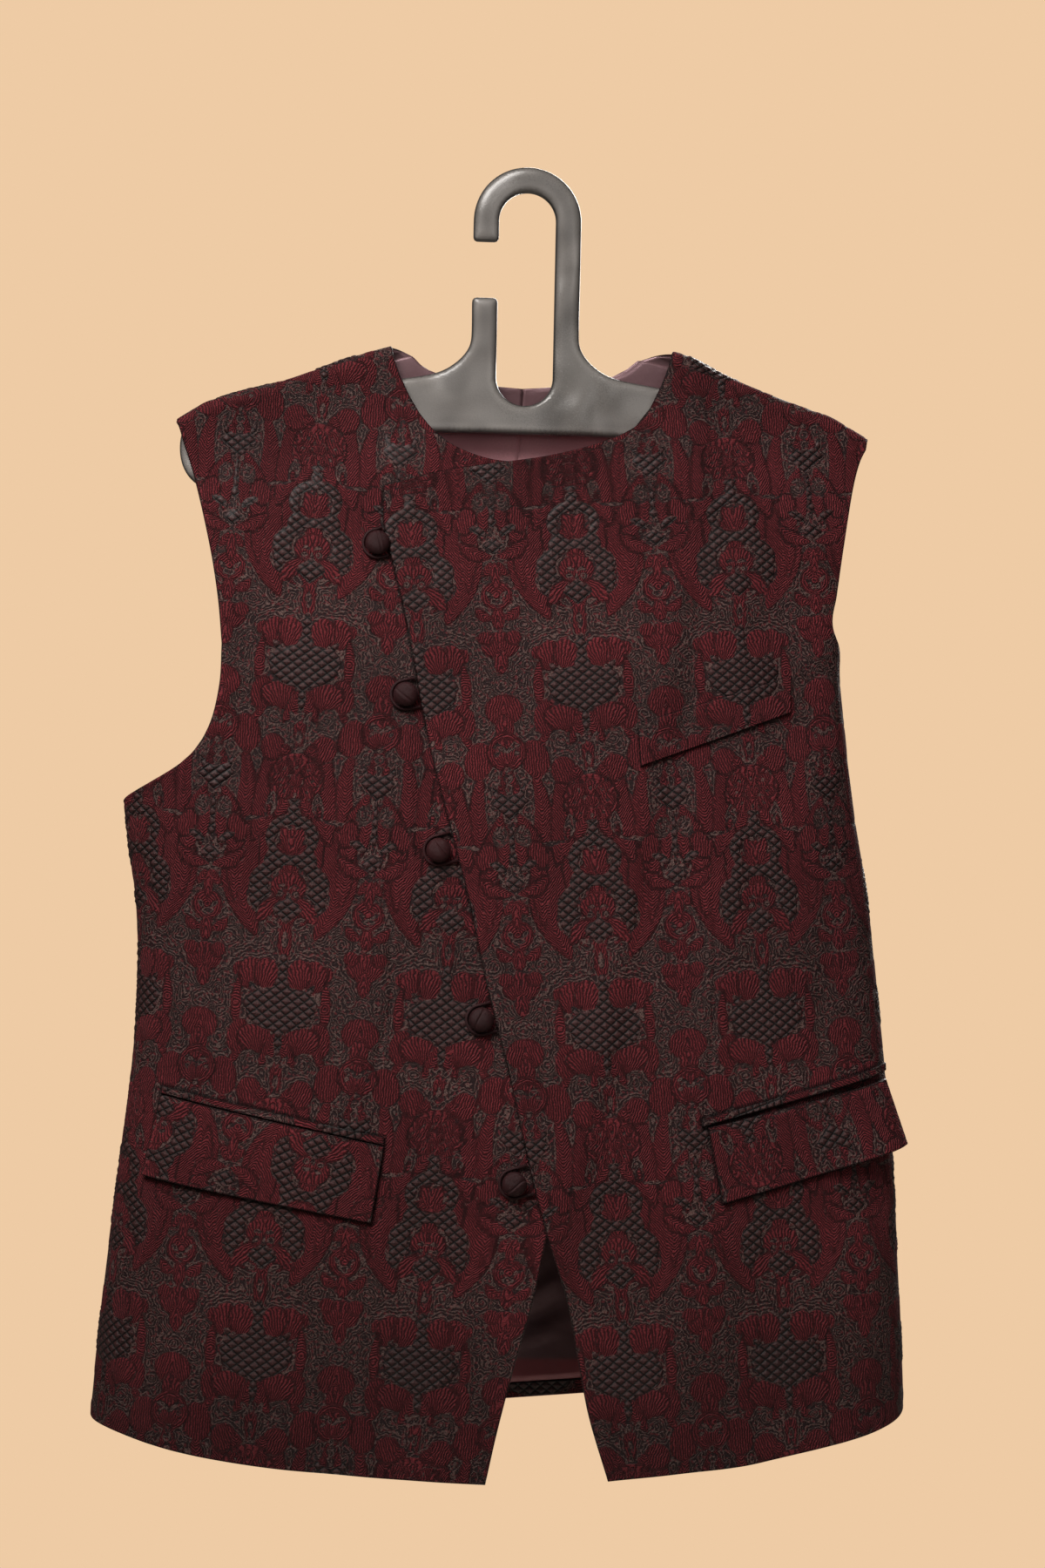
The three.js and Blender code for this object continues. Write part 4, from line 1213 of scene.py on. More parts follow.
def front_edge(rows: Rows, top: float, z: Array) -> Array:
    """A front's inner edge below a height: the smooth curve of x over z.

    Args:
        rows: the front's rows.
        top: the highest row that counts.
        z: heights.

    Returns:
        The edge's x at the heights.
    """
    known = np.nan_to_num(rows["innerZ"], nan=math.inf) <= top
    return hermite(rows["innerZ"][known], rows["innerX"][known], z)


def overlap_lift(s: Array, z: Array) -> Array:
    """How far the over front stands on the under front, down to its foot at the open hem.

    Args:
        s: walk lengths.
        z: heights.

    Returns:
        The lift at each place.
    """
    hidden = front_edge(UNDER_ROWS, OVERLAP_TOP, np.minimum(OVERLAP_TOP, z))
    under = smooth((s - hidden - OVERLAP_FAR) / (OVERLAP_NEAR - OVERLAP_FAR))
    return OVERLAP_LIFT * smooth((z - OVERLAP_FOOT) / OVERLAP_FADE) * under


@dataclass
class Patch:
    """A flat piece laid on a panel: a jet, a flap or the welt.

    Its corners are the inner top, outer top, outer bottom and inner bottom, as walk lengths
    and heights, and every point stands off along the panel's own outward direction.
    """

    name: str
    node: str
    panel: Panel
    corners: tuple[Pair, ...]
    wall: float
    cut: Cut
    cells: tuple[int, int]
    ease: float = 0.0
    tip: float = 0.0
    flare: float = 0.0
    ratio: int = 4
    relief: Relief = Relief(pad=0.8)
    edge: Edge = Edge(radius=0.75, allowance=0.25, inset=4.5, spread=2.4)
    gap: float = 0.6
    soften: float = 1.2
    crisp: float = 1.0

    def build(self, outside: Material, inside: Material) -> Thing:
        """Build the piece over its panel, from the mix of its four corners.

        Args:
            outside: the outer face's cloth.
            inside: the inner face's cloth.

        Returns:
            The piece.
        """
        rows, columns = (cells * self.ratio for cells in self.cells)
        (s0, z0), (s1, z1), (s2, z2), (s3, z3) = self.corners
        v, u = np.meshgrid(edge_lines(rows, math.hypot(s3 - s0, z3 - z0)),
                           edge_lines(columns, math.hypot(s1 - s0, z1 - z0)), indexing="ij")
        s = mix(mix(s0, s1, u), mix(s3, s2, u), v)
        z = mix(mix(z0, z1, u), mix(z3, z2, u), v)
        points, normals = self.panel.surface(s, z)
        stand = self.ease * v + smooth((u - 0.5) / 0.5) * mix(self.tip, self.flare, v)
        base = points + normals * (self.gap + stand)[..., None]
        across, down = self.cut.cloth(s, z)
        chart = Chart(across, down)
        face = Face(base, normals, s, z)
        border = face.border()
        lifted = self.wall + self.relief.height(across, down, chart) * smooth(border / self.soften)
        lifted = lifted + self.edge.fall(border)
        r = self.ratio
        piece = Shell(self.name, base + normals * lifted[..., None], base[::r, ::r], r,
                      across, down, cloth_fields(chart, border * self.crisp)
                      ).build([outside, inside])
        self.panel.sewn_on.append(join_to_vest(piece, self.node))
        self.panel.laid_on.append((np.array(self.corners), CONTACT * self.crisp))
        return piece


@dataclass
class BackInside:
    """What lies inside a back: its turned-up hem, or its half of the satin lining."""

    name: str
    node: str
    panel: Panel
    low: float
    high: float
    wrinkles: Creases | None = None
    cells: tuple[int, int] = (40, 18)
    ratio: int = 4
    wall: float = 1.0
    tuck: float = 1.4
    inset: float = 0.985
    seam_wide: float = 2.0
    seam_thin: float = 0.5
    seam_stand: float = 0.4

    def build(self, showing: Material, hidden: Material) -> Thing:
        """Build it, with its fine face toward the hollow of the vest.

        The wearer's left half goes past the centre seam and thins out behind the right half,
        so that no light comes through there.

        Args:
            showing: the cloth of the face that shows.
            hidden: the cloth of the other face.

        Returns:
            The piece.
        """
        rows, columns = (cells * self.ratio for cells in self.cells)
        step, u = np.meshgrid(np.linspace(self.low, self.high, rows + 1),
                              np.linspace(0.0, self.inset, columns + 1), indexing="ij")
        s, z = self.panel.place(step, u)
        past = -SEAM_GAP / 2 if self.panel.left else SEAM_GAP / 2 + self.tuck
        s = s + past * (1 - u / self.inset) ** 4
        rise = self.panel.rise(s, z, smooth((self.panel.last - step) / FLAT_STEPS))
        points, normals = self.panel.body.point(s, z), self.panel.body.normal(s, z)
        depth = rise - WALL - LAYER_GAP
        far = points + normals * depth[..., None]
        face = Face(far, normals, s, z)
        seam = np.exp(-(((s - self.panel.row("innerS", step)) / self.seam_wide) ** 2))
        near = depth - self.wall * (1.0 if self.panel.left else 1.0 - self.seam_thin * seam)
        if self.wrinkles is not None:
            near = near - self.wrinkles.lift(points[..., 0], z)
            near = near + self.seam_stand * seam
        across, down = self.panel.cut.cloth(s, z)
        chart = Chart(across, down)
        fields = cloth_fields(chart, face.border()) if self.wrinkles is None else {}
        piece = Shell(self.name, points + normals * near[..., None],
                      far[::self.ratio, ::self.ratio], self.ratio, across, down,
                      fields).build([showing, hidden])
        if self.wrinkles is None:
            self.panel.sewn_on.append(join_to_vest(piece, self.node))
        else:
            declare_cut(join_to_vest(piece, self.node), face)
        return piece


LINING_WRINKLES = Creases(0.4, 3.0, """
    -12 -722 36 -694 3.5 1.7; -4 -732 38 -710 3 -1.4; -6 -740 34 -726 3 1.2;
    -20 -680 -30 -760 7 -1.2; -46 -640 -60 -760 9 1.6; 50 -640 66 -760 9 -1.5;
    -30 -140 -80 -170 6 0.9; 30 -136 76 -170 6 0.9; -90 -200 -40 -290 8 1.2;
    88 -190 40 -300 8 -1.2; -110 -400 -90 -560 10 1.5; 110 -420 90 -580 10 1.4;
    -150 -620 -140 -740 10 1.4; 150 -600 140 -730 10 -1.4
""")


def closed_rings(rings: Array, name: str, material: Material) -> Thing:
    """A round body from closed rings, each end drawn together in one point.

    Args:
        rings: rings by points by x, y and z.
        name: the piece's name.
        material: its material.

    Returns:
        The object.
    """
    count, around = rings.shape[:2]
    points = np.concatenate([rings.reshape(-1, 3), rings[[0, -1]].mean(axis=1)])
    k = np.arange(around)
    nxt = (k + 1) % around
    row = np.arange(count - 1)[:, None] * around
    sides = np.stack([row + k, row + nxt, row + around + nxt, row + around + k],
                     axis=-1).reshape(-1, 4)
    top = (count - 1) * around
    fans = np.concatenate([np.stack([np.full(around, len(points) - 2), nxt, k], axis=1),
                           np.stack([np.full(around, len(points) - 1), top + k, top + nxt],
                                    axis=1)])
    return outward(mesh_object(name, points, [(sides, 0, True), (fans, 0, True)], [material]))


def outward(made: Thing) -> Thing:
    """Turn a closed mesh so that its faces look outward, by the sign of its volume.

    Args:
        made: the object.

    Returns:
        The same object.
    """
    mesh = made.data
    mesh.calc_loop_triangles()
    corner = np.empty(len(mesh.loop_triangles) * 3, np.int32)
    mesh.loop_triangles.foreach_get("vertices", corner)
    at = np.empty(len(mesh.vertices) * 3, np.float32)
    mesh.vertices.foreach_get("co", at)
    a, b, c = at.reshape(-1, 3)[corner.reshape(-1, 3)].astype(float).transpose(1, 0, 2)
    if np.einsum("ij,ij->", a, np.cross(b, c)) < 0:
        mesh.flip_normals()
    return made


BUTTON_PROFILE = Rows("r h", """
    2.6 0; 3 1.2; 3.4 2.2; 5.6 2.5; 7 2.9; 7.6 3.8; 7.3 5; 6.1 6.4; 4 7.5; 1.8 7.95; 0.3 8.05
""")
BUTTONS = Rows("x z fold", """
    -91 -226 0.5; -72 -319.5 -0.7; -50 -415 0.35; -22 -518.5 -0.3; 0 -618 0.9
""")


@dataclass
class Fastening:
    """A covered button on the under front, in its loop from the over front's edge."""

    number: int
    x: float
    z: float
    fold: float
    under: Panel
    around: int = 72
    edge_top: float = -190.0
    edge_reach: float = 10.0
    edge_step: float = 4.0
    rings: int = 44
    seat: float = 0.4
    gathers: int = 15
    gather_deep: float = 0.03
    crease_deep: float = 0.5
    crease_wide: float = 0.55
    ridge_high: float = 0.3
    ridge_wide: float = 0.9
    loop_reach: float = 9.0
    loop_radius: float = 0.95
    loop_hidden: float = 0.7
    loop_steps: int = 29
    loop_sides: int = 14

    def frame(self) -> tuple[Array, Array, Array, Array, float]:
        """The button's seat, outward, along the over front's edge, toward it, and its reach.

        Returns:
            A point, three directions and a distance.
        """
        body = self.under.body
        s = body.s_at(self.z, self.x, False, False)

        def edge(z: float) -> float:
            """The over front's edge at a height, as a walk length."""
            x = float(front_edge(OVER_ROWS, self.edge_top, np.array(z)))
            return body.s_at(z, x, False, False)

        near = self.edge_reach
        run = np.array([edge(self.z + near) - edge(self.z - near), 2 * near])
        run /= np.linalg.norm(run)
        reach = (edge(self.z) - s) * run[1]
        point, normal = (a[0] for a in self.under.surface(np.array([s]), np.array([self.z])))
        ahead = np.array([[s], [self.z]]) + run[:, None] * self.edge_step
        along = self.under.surface(*ahead)[0][0] - point
        along /= np.linalg.norm(along)
        toward = np.cross(along, normal)
        toward /= np.linalg.norm(toward)
        return point, normal, along, toward if toward[0] > 0 else -toward, float(reach)

    def build_button(self, cloth: Material) -> Thing:
        """A dome turned round its own axis, with the cover's fold and the gathers under it.

        Args:
            cloth: its cloth.

        Returns:
            The button.
        """
        point, normal, along, toward, _ = self.frame()
        steps = np.arange(len(BUTTON_PROFILE["r"]), dtype=float)
        key = np.linspace(0.0, steps[-1], self.rings)
        r, h = (hermite(steps, BUTTON_PROFILE[c], key)[:, None] for c in "rh")
        turn = np.linspace(0, 2 * math.pi, self.around, endpoint=False)[None]
        gather = smooth((4.2 - h) / 2.0) * smooth((r - 3.2) / 2.0)
        r = r * (1.0 + self.gather_deep * gather * np.cos(self.gathers * turn + self.fold))
        a, b = r * np.cos(turn), r * np.sin(turn)
        lean = math.pi * self.fold
        line = a * math.cos(lean) + b * math.sin(lean) - 1.4 + 0.5 * np.sin(b * 0.4)
        for deep, wide, off in ((-self.crease_deep, self.crease_wide, 0.0),
                                (self.ridge_high, self.ridge_wide, 1.3)):
            bell = np.exp(-(((line - off) / wide) ** 2))
            h = h + deep * bell * smooth((h - 3.0) / 2.0)
        rings = (point + normal * (self.seat + h)[..., None] + along * a[..., None]
                 + toward * b[..., None])
        piece = closed_rings(rings, f"button_cover_{self.number}", cloth)
        return join_to_vest(piece, f"button_{self.number}")

    def build_loop(self, cord: Material) -> Thing:
        """A thin sewn tube round the button, both ends run under the over front's edge.

        Args:
            cord: its cloth.

        Returns:
            The loop.
        """
        point, normal, along, toward, reach = self.frame()
        turn = np.linspace(0.0, math.pi, self.loop_steps)
        end, wide = reach - self.loop_hidden, self.loop_reach
        a = np.concatenate([[end], -wide * np.sin(turn), [end]])
        b = np.concatenate([[wide], wide * np.cos(turn), [-wide]])
        line = (point + normal * (LAYER_GAP + self.loop_radius) + toward * a[:, None]
                + along * b[:, None])
        way = np.gradient(line, axis=0)
        way /= np.linalg.norm(way, axis=1, keepdims=True)
        side = np.cross(np.broadcast_to(normal, way.shape), way)
        angle = np.linspace(0, 2 * math.pi, self.loop_sides, endpoint=False)[None, :, None]
        rings = line[:, None] + self.loop_radius * (
            np.cos(angle) * normal + np.sin(angle) * side[:, None])
        piece = closed_rings(rings, f"button_loop_{self.number}", cord)
        return join_to_vest(piece, f"loop_{self.number}")


SHOULDER_LINE = Rows("x z", """
    34 -60; 34 -92; 35.5 -98.5; 39.5 -104.5; 45 -109.5; 51.5 -113.5; 60 -116.5; 71 -118.5;
    87 -121; 113 -125.3; 140 -130; 180 -138.3; 197 -141.8; 205 -143.9; 210.5 -148.5; 214 -156;
    215.5 -167; 213.5 -178; 208 -186.5; 199 -192; 187 -192; 172 -186.5; 150 -176; 120 -164.5;
    90 -156.8; 62 -153.2; 30 -152.5
""")


@dataclass
class Hanger:
    """The flat moulded hanger: one outline for hook and arms, with a softly domed rim."""

    half: float = 4.5
    dome: float = 6.2
    arm_dome: float = 3.0
    rim: float = 1.3
    neck_from: float = -118.0
    neck_ease: float = 30.0
    dent: float = 1.5
    dent_at: Pair = (46.0, -130.0)
    dent_size: Pair = (7.0, 15.0)
    tip_from: float = 150.0
    tip_ease: float = 50.0
    tip_drawn: float = 0.016
    outline_step: float = 1.6
    bevel_lines: tuple[float, ...] = (0.3, 0.9, 1.8)
    bevel_gap: float = 0.2
    grid_gap: float = 2.4
    pitch: float = 1.5
    hook_inner: float = 18.0
    hook_outer: float = 34.0
    slot_centre: float = -116.5
    stub_top: float = -67.0
    hook_tip: float = -31.5
    corner: float = 2.6

    def arc(self, centre: float, radius: float, start: float, end: float,
            steps: int) -> Array:
        """Points round an arc whose middle is on the hanger's axis."""
        angle = np.radians(np.linspace(start, end, steps + 1))
        return np.stack([radius * np.cos(angle), centre + radius * np.sin(angle)], axis=1)

    def outline(self) -> Array:
        """The whole outline, its four square corners rounded, at about 1.5 mm steps.

        Returns:
            Across and up for each point.
        """
        arm = np.stack([SHOULDER_LINE["x"], SHOULDER_LINE["z"]], axis=1)
        mirrored = (arm[1:] * [-1, 1])[::-1]
        inner, outer = self.hook_inner, self.hook_outer
        hook_end = np.concatenate([
            self.round_corner((-inner, 0), (-inner, self.hook_tip), (-outer, self.hook_tip)),
            self.round_corner((-inner, self.hook_tip), (-outer, self.hook_tip), (-outer, 0)),
        ])
        stub = np.concatenate([
            self.round_corner((-outer, -90), (-outer, self.stub_top), (-inner, self.stub_top)),
            self.round_corner((-outer, self.stub_top), (-inner, self.stub_top), (-inner, -90)),
        ])
        runs = [self.arc(-inner, outer, 180, 0, 40), arm, [[0, -152.5]], mirrored, stub,
                self.arc(self.slot_centre, inner, 180, 360, 26), [[inner, self.stub_top]],
                self.arc(-inner, inner, 0, 180, 30), hook_end]
        points = np.concatenate([np.asarray(run, float) for run in runs])
        closed = np.concatenate([points[-2:], points, points[:3]])
        keys = np.concatenate([[0.0], np.cumsum(np.hypot(*np.diff(closed, axis=0).T))])
        low, high = keys[2], keys[-3]
        at = np.linspace(low, high, int((high - low) / self.outline_step), endpoint=False)
        return np.stack([hermite(keys, closed[:, i], at) for i in (0, 1)], axis=1)

    def round_corner(self, before: Pair, corner: Pair,
                     after: Pair) -> Array:
        """Five points of a quarter round in place of a square corner.

        Args:
            before: a place on the side before.
            corner: the corner.
            after: a place on the side after.

        Returns:
            The five points.
        """
        at, a, b = (np.array(p, float) for p in (corner, before, after))
        u, v = ((p - at) / np.linalg.norm(p - at) * self.corner for p in (a, b))
        angle = np.linspace(0.0, math.pi / 2, 5)[:, None]
        return at + u * (1 - np.sin(angle)) + v * (1 - np.cos(angle))

    def drawn_in(self, ring: Array, distance: float) -> Array:
        """The outline moved inward by a distance, square to the mean of its neighbours.

        Args:
            ring: the outline.
            distance: how far it moves.

        Returns:
            The moved outline.
        """
        way = np.roll(ring, -1, axis=0) - np.roll(ring, 1, axis=0)
        way /= np.linalg.norm(way, axis=1, keepdims=True)
        return ring + np.stack([way[:, 1], -way[:, 0]], axis=1) * distance

    def face(self) -> tuple[Array, Array, Array, int]:
        """One face: its places, its triangles, its depths, and how many places are outline.

        Returns:
            Places, triangles, depths and the count of the outline's places.
        """
        ring = self.outline()
        free = [self.drawn_in(ring, d)[::1 if d < 0.5 else 2] for d in self.bevel_lines]
        low, high = ring.min(axis=0), ring.max(axis=0)
        x, z = np.meshgrid(np.arange(low[0], high[0], self.pitch),
                           np.arange(low[1], high[1], self.pitch))
        x = x + (np.arange(len(x)) % 2)[:, None] * self.pitch / 2
        grid = np.stack([x.ravel(), z.ravel()], axis=1)
        free = np.concatenate(free + [grid])
        inside = depth_in(ring, free)
        gap = np.repeat([self.bevel_gap, self.grid_gap], [len(free) - len(grid), len(grid)])
        places = np.concatenate([ring, free[inside > gap]])
        sides = [(i, (i + 1) % len(ring)) for i in range(len(ring))]
        found = delaunay_2d_cdt([Vector(p) for p in places], sides, [], 1, 1e-5)
        places = np.array([tuple(v) for v in found[0]])
        depth = np.maximum(depth_in(ring, places), 0.0)
        depth[:len(ring)] = 0.0
        return places, np.array(found[2]), depth, len(ring)

    def build(self, plastic: Material) -> Thing:
        """Both faces swell from a narrow rim by the root of one less the squared shortfall.

        Args:
            plastic: its material.

        Returns:
            The hanger.
        """
        places, faces, depth, count = self.face()
        x, z = places.T
        dome = mix(self.arm_dome, self.dome, smooth((z - self.neck_from) / self.neck_ease))
        short = 1.0 - np.clip(depth / dome, 0.0, 1.0)
        swell = self.rim + (self.half - self.rim) * np.sqrt(1.0 - short**2)
        off = (places - self.dent_at) / self.dent_size
        swell -= self.dent * np.exp(-(off[:, 0] ** 2 + off[:, 1] ** 2))
        x = x * (1 - self.tip_drawn * smooth((x - self.tip_from) / self.tip_ease))
        front, back = (np.stack([x, way * swell, z], axis=1) for way in (-1.0, 1.0))
        k = np.arange(count)
        nxt = (k + 1) % count
        wall = np.stack([k, nxt, nxt + len(places), k + len(places)], axis=1)
        winding = np.cross(places[faces[:, 1]] - places[faces[:, 0]],
                           places[faces[:, 2]] - places[faces[:, 0]]).sum()
        turned = faces[:, ::-1] if winding < 0 else faces
        sides = [turned, turned[:, ::-1] + len(places), self.outer_wall(places, wall)]
        piece = mesh_object("moulded_hanger", np.concatenate([front, back]),
                            [(faces, 0, True) for faces in sides], [plastic])
        dress_with(piece, {"edge": np.tile(depth, 2)})
        return join_to_vest(outward(piece), "hanger")

    def outer_wall(self, places: Array, wall: Array) -> Array:
        """Turn the rim's faces so that they go round the way the front face doesn't.

        Args:
            places: the face's places.
            wall: the rim's faces.

        Returns:
            The rim's faces, turned where they need it.
        """
        ring = places[wall[:, 0]]
        after = places[wall[:, 1]]
        turn = (ring[:, 0] * after[:, 1] - ring[:, 1] * after[:, 0]).sum()
        return wall[:, ::-1] if turn > 0 else wall


Number = Union["Value", float]


class Value:
    """What a socket puts out. Arithmetic on it adds Math nodes."""

    def __init__(self, w: Wiring, socket: Socket) -> None:
        """Keep the socket, and the wiring that it belongs to."""
        self.w, self.socket = w, socket

    def math(self, operation: str, *others: Number) -> Value:
        """One Math node on this value and others."""
        return self.w.value("ShaderNodeMath", dict(enumerate((self, *others))),
                            operation=operation)

    def __add__(self, other: Number) -> Value:
        """The sum."""
        return self.math("ADD", other)

    def __sub__(self, other: Number) -> Value:
        """The difference."""
        return self.math("SUBTRACT", other)

    def __mul__(self, other: Number) -> Value:
        """The product."""
        return self.math("MULTIPLY", other)

    def __truediv__(self, other: Number) -> Value:
        """The quotient."""
        return self.math("DIVIDE", other)

    def line(self, gain: Number, base: Number) -> Value:
        """The gain times this value, plus the base."""
        return self.math("MULTIPLY_ADD", gain, base)

    def step(self, low: float, high: float) -> Value:
        """A smooth step from 0 at low to 1 at high."""
        return self.w.value("ShaderNodeMapRange", {0: self, 1: low, 2: high, 3: 0.0, 4: 1.0},
                            interpolation_type="SMOOTHSTEP")

    def part(self, axis: int) -> Value:
        """One coordinate of a place."""
        return self.w.value("ShaderNodeSeparateXYZ", {0: self}, axis)

    def scaled(self, factor: Number) -> Value:
        """A colour or place times a number."""
        return self.w.value("ShaderNodeVectorMath", {0: self, 3: factor}, operation="SCALE")


@dataclass
class Wiring:
    """Adds nodes to a tree and joins them."""

    tree: bpy.types.NodeTree

    def node(self, kind: str, inputs: dict[str | int, object] | None = None,
             **settings: object) -> bpy.types.Node:
        """A node with its settings, each input linked or set.

        Args:
            kind: the node's type.
            inputs: values by input name or number.
            settings: the node's own properties.

        Returns:
            The node.
        """
        made = self.tree.nodes.new(kind)
        for key, value in settings.items():
            setattr(made, key, value)
        for key, value in (inputs or {}).items():
            if isinstance(value, Value):
                self.tree.links.new(value.socket, made.inputs[key])
            else:
                made.inputs[key].default_value = value
        return made

    def value(self, kind: str, inputs: dict[str | int, object] | None = None,
              out: int | str = 0, **settings: object) -> Value:
        """One output of a new node."""
        return Value(self, self.node(kind, inputs, **settings).outputs[out])

    def blend(self, share: Number, low: object, high: object) -> Value:
        """A colour between two."""
        return self.value("ShaderNodeMix", {0: share, 6: low, 7: high}, 2, data_type="RGBA")

    def noise(self, place: Value, scale: float, detail: float = 3.0,
              rough: float = 0.55) -> Value:
        """The value of a noise."""
        return self.value("ShaderNodeTexNoise", {"Vector": place, "Scale": scale,
                                                 "Detail": detail, "Roughness": rough})

    def attribute(self, name: str) -> Value:
        """A field of the mesh."""
        return self.value("ShaderNodeAttribute", None, "Fac", attribute_name=name)

    def on_cloth(self) -> Value:
        """The place on the cloth."""
        return self.value("ShaderNodeUVMap", uv_map="cloth")

    def in_space(self) -> Value:
        """The place on Object coordinates."""
        return self.value("ShaderNodeTexCoord", None, "Object")

    def group(self, tree: bpy.types.NodeTree, **inputs: object) -> list[Value]:
        """What a shared effect puts out for this finish's own values."""
        made = self.node("ShaderNodeGroup", inputs, node_tree=tree)
        return [Value(self, socket) for socket in made.outputs]

    def shader(self, looks: dict[str | int, object], height: Value | None = None,
               distance: float = 0.0, strength: float = 1.0) -> None:
        """The Principled shader joined to the output, with its bump.

        Args:
            looks: the shader's inputs by name.
            height: the bump's height.
            distance: the bump's depth in metres.
            strength: the bump's share.
        """
        if height is not None:
            looks["Normal"] = self.value("ShaderNodeBump", {
                "Height": height, "Distance": distance, "Strength": strength})
        self.node("ShaderNodeOutputMaterial",
                  {"Surface": self.value("ShaderNodeBsdfPrincipled", looks)})


def new_group(name: str, inputs: dict[str, float | None],
              outputs: list[str]) -> tuple[Wiring, list[Value]]:
    """A shader node group with named inputs and outputs.

    Args:
        name: the group's name.
        inputs: each input's default by name, where None stands for a place.
        outputs: the names of its float outputs.

    Returns:
        The group's wiring, and what comes in.
    """
    tree = bpy.data.node_groups.new(name, "ShaderNodeTree")
    for key, value in inputs.items():
        kind = "NodeSocketVector" if value is None else "NodeSocketFloat"
        socket = tree.interface.new_socket(key, in_out="INPUT", socket_type=kind)
        if value is not None:
            socket.default_value = value
    for key in outputs:
        tree.interface.new_socket(key, in_out="OUTPUT", socket_type="NodeSocketFloat")
    w = Wiring(tree)
    given = w.node("NodeGroupInput")
    return w, [Value(w, given.outputs[key]) for key in inputs]


@dataclass
class Effects:
    """The node groups that more than one finish uses."""

    lines: bpy.types.NodeTree = field(init=False)
    tone: bpy.types.NodeTree = field(init=False)
    weave: bpy.types.NodeTree = field(init=False)

    def __post_init__(self) -> None:
        """Build each group once."""
        self.lines = self.fine_lines()
        self.tone = self.cloth_tone()
        self.weave = self.plain_weave()

    def fine_lines(self) -> bpy.types.NodeTree:
        """Lines at a pitch: half a cosine of the phase over the pitch, from 0 to 1.

        Returns:
            The group.
        """
        w, (phase, pitch) = new_group("fine_lines", {"Phase": 0.0, "Pitch": 1.8}, ["Line"])
        wave = (phase / pitch * (2 * math.pi)).math("COSINE")
        w.node("NodeGroupOutput", {"Line": wave.line(0.5, 0.5)})
        return w.tree

    def cloth_tone(self) -> bpy.types.NodeTree:
        """Broad and fine changes of tone, as a number about 1.

        Returns:
            The group.
        """
        w, (place, broad, fine) = new_group(
            "cloth_tone", {"Place": None, "Broad": 0.25, "Fine": 0.2}, ["Tone", "Fibre"])
        fibre = w.noise(place, 950.0, 2.0, 0.7)
        total = (w.noise(place, 9.0, 2.0) - 0.5).line(broad, 1.0)
        w.node("NodeGroupOutput", {"Tone": (fibre - 0.5).line(fine, total), "Fibre": fibre})
        return w.tree

    def plain_weave(self) -> bpy.types.NodeTree:
        """Crossing threads: the product of a sine along each way of the cloth.

        Returns:
            The group.
        """
        w, (place, pitch) = new_group("plain_weave", {"Place": None, "Pitch": 0.0006}, ["Height"])
        across, down = ((place.part(axis) / pitch * (2 * math.pi)).math("SINE")
                        for axis in (0, 1))
        w.node("NodeGroupOutput", {"Height": (across * down).line(0.5, 0.5)})
        return w.tree


Colour = tuple[float, float, float, float]


def linear(red: int, green: int, blue: int) -> Colour:
    """A colour given as it looks on a screen, as linear light."""
    shares = (value / 255 for value in (red, green, blue))
    return *(s / 12.92 if s <= 0.04045 else ((s + 0.055) / 1.055) ** 2.4 for s in shares), 1.0


def new_finish(name: str) -> tuple[Material, Wiring]:
    """An empty material and its wiring.

    Args:
        name: the finish's name.

    Returns:
        The material and its wiring.
    """
    material = bpy.data.materials.new(name)
    material.use_nodes = True
    material.node_tree.nodes.clear()
    return material, Wiring(material.node_tree)


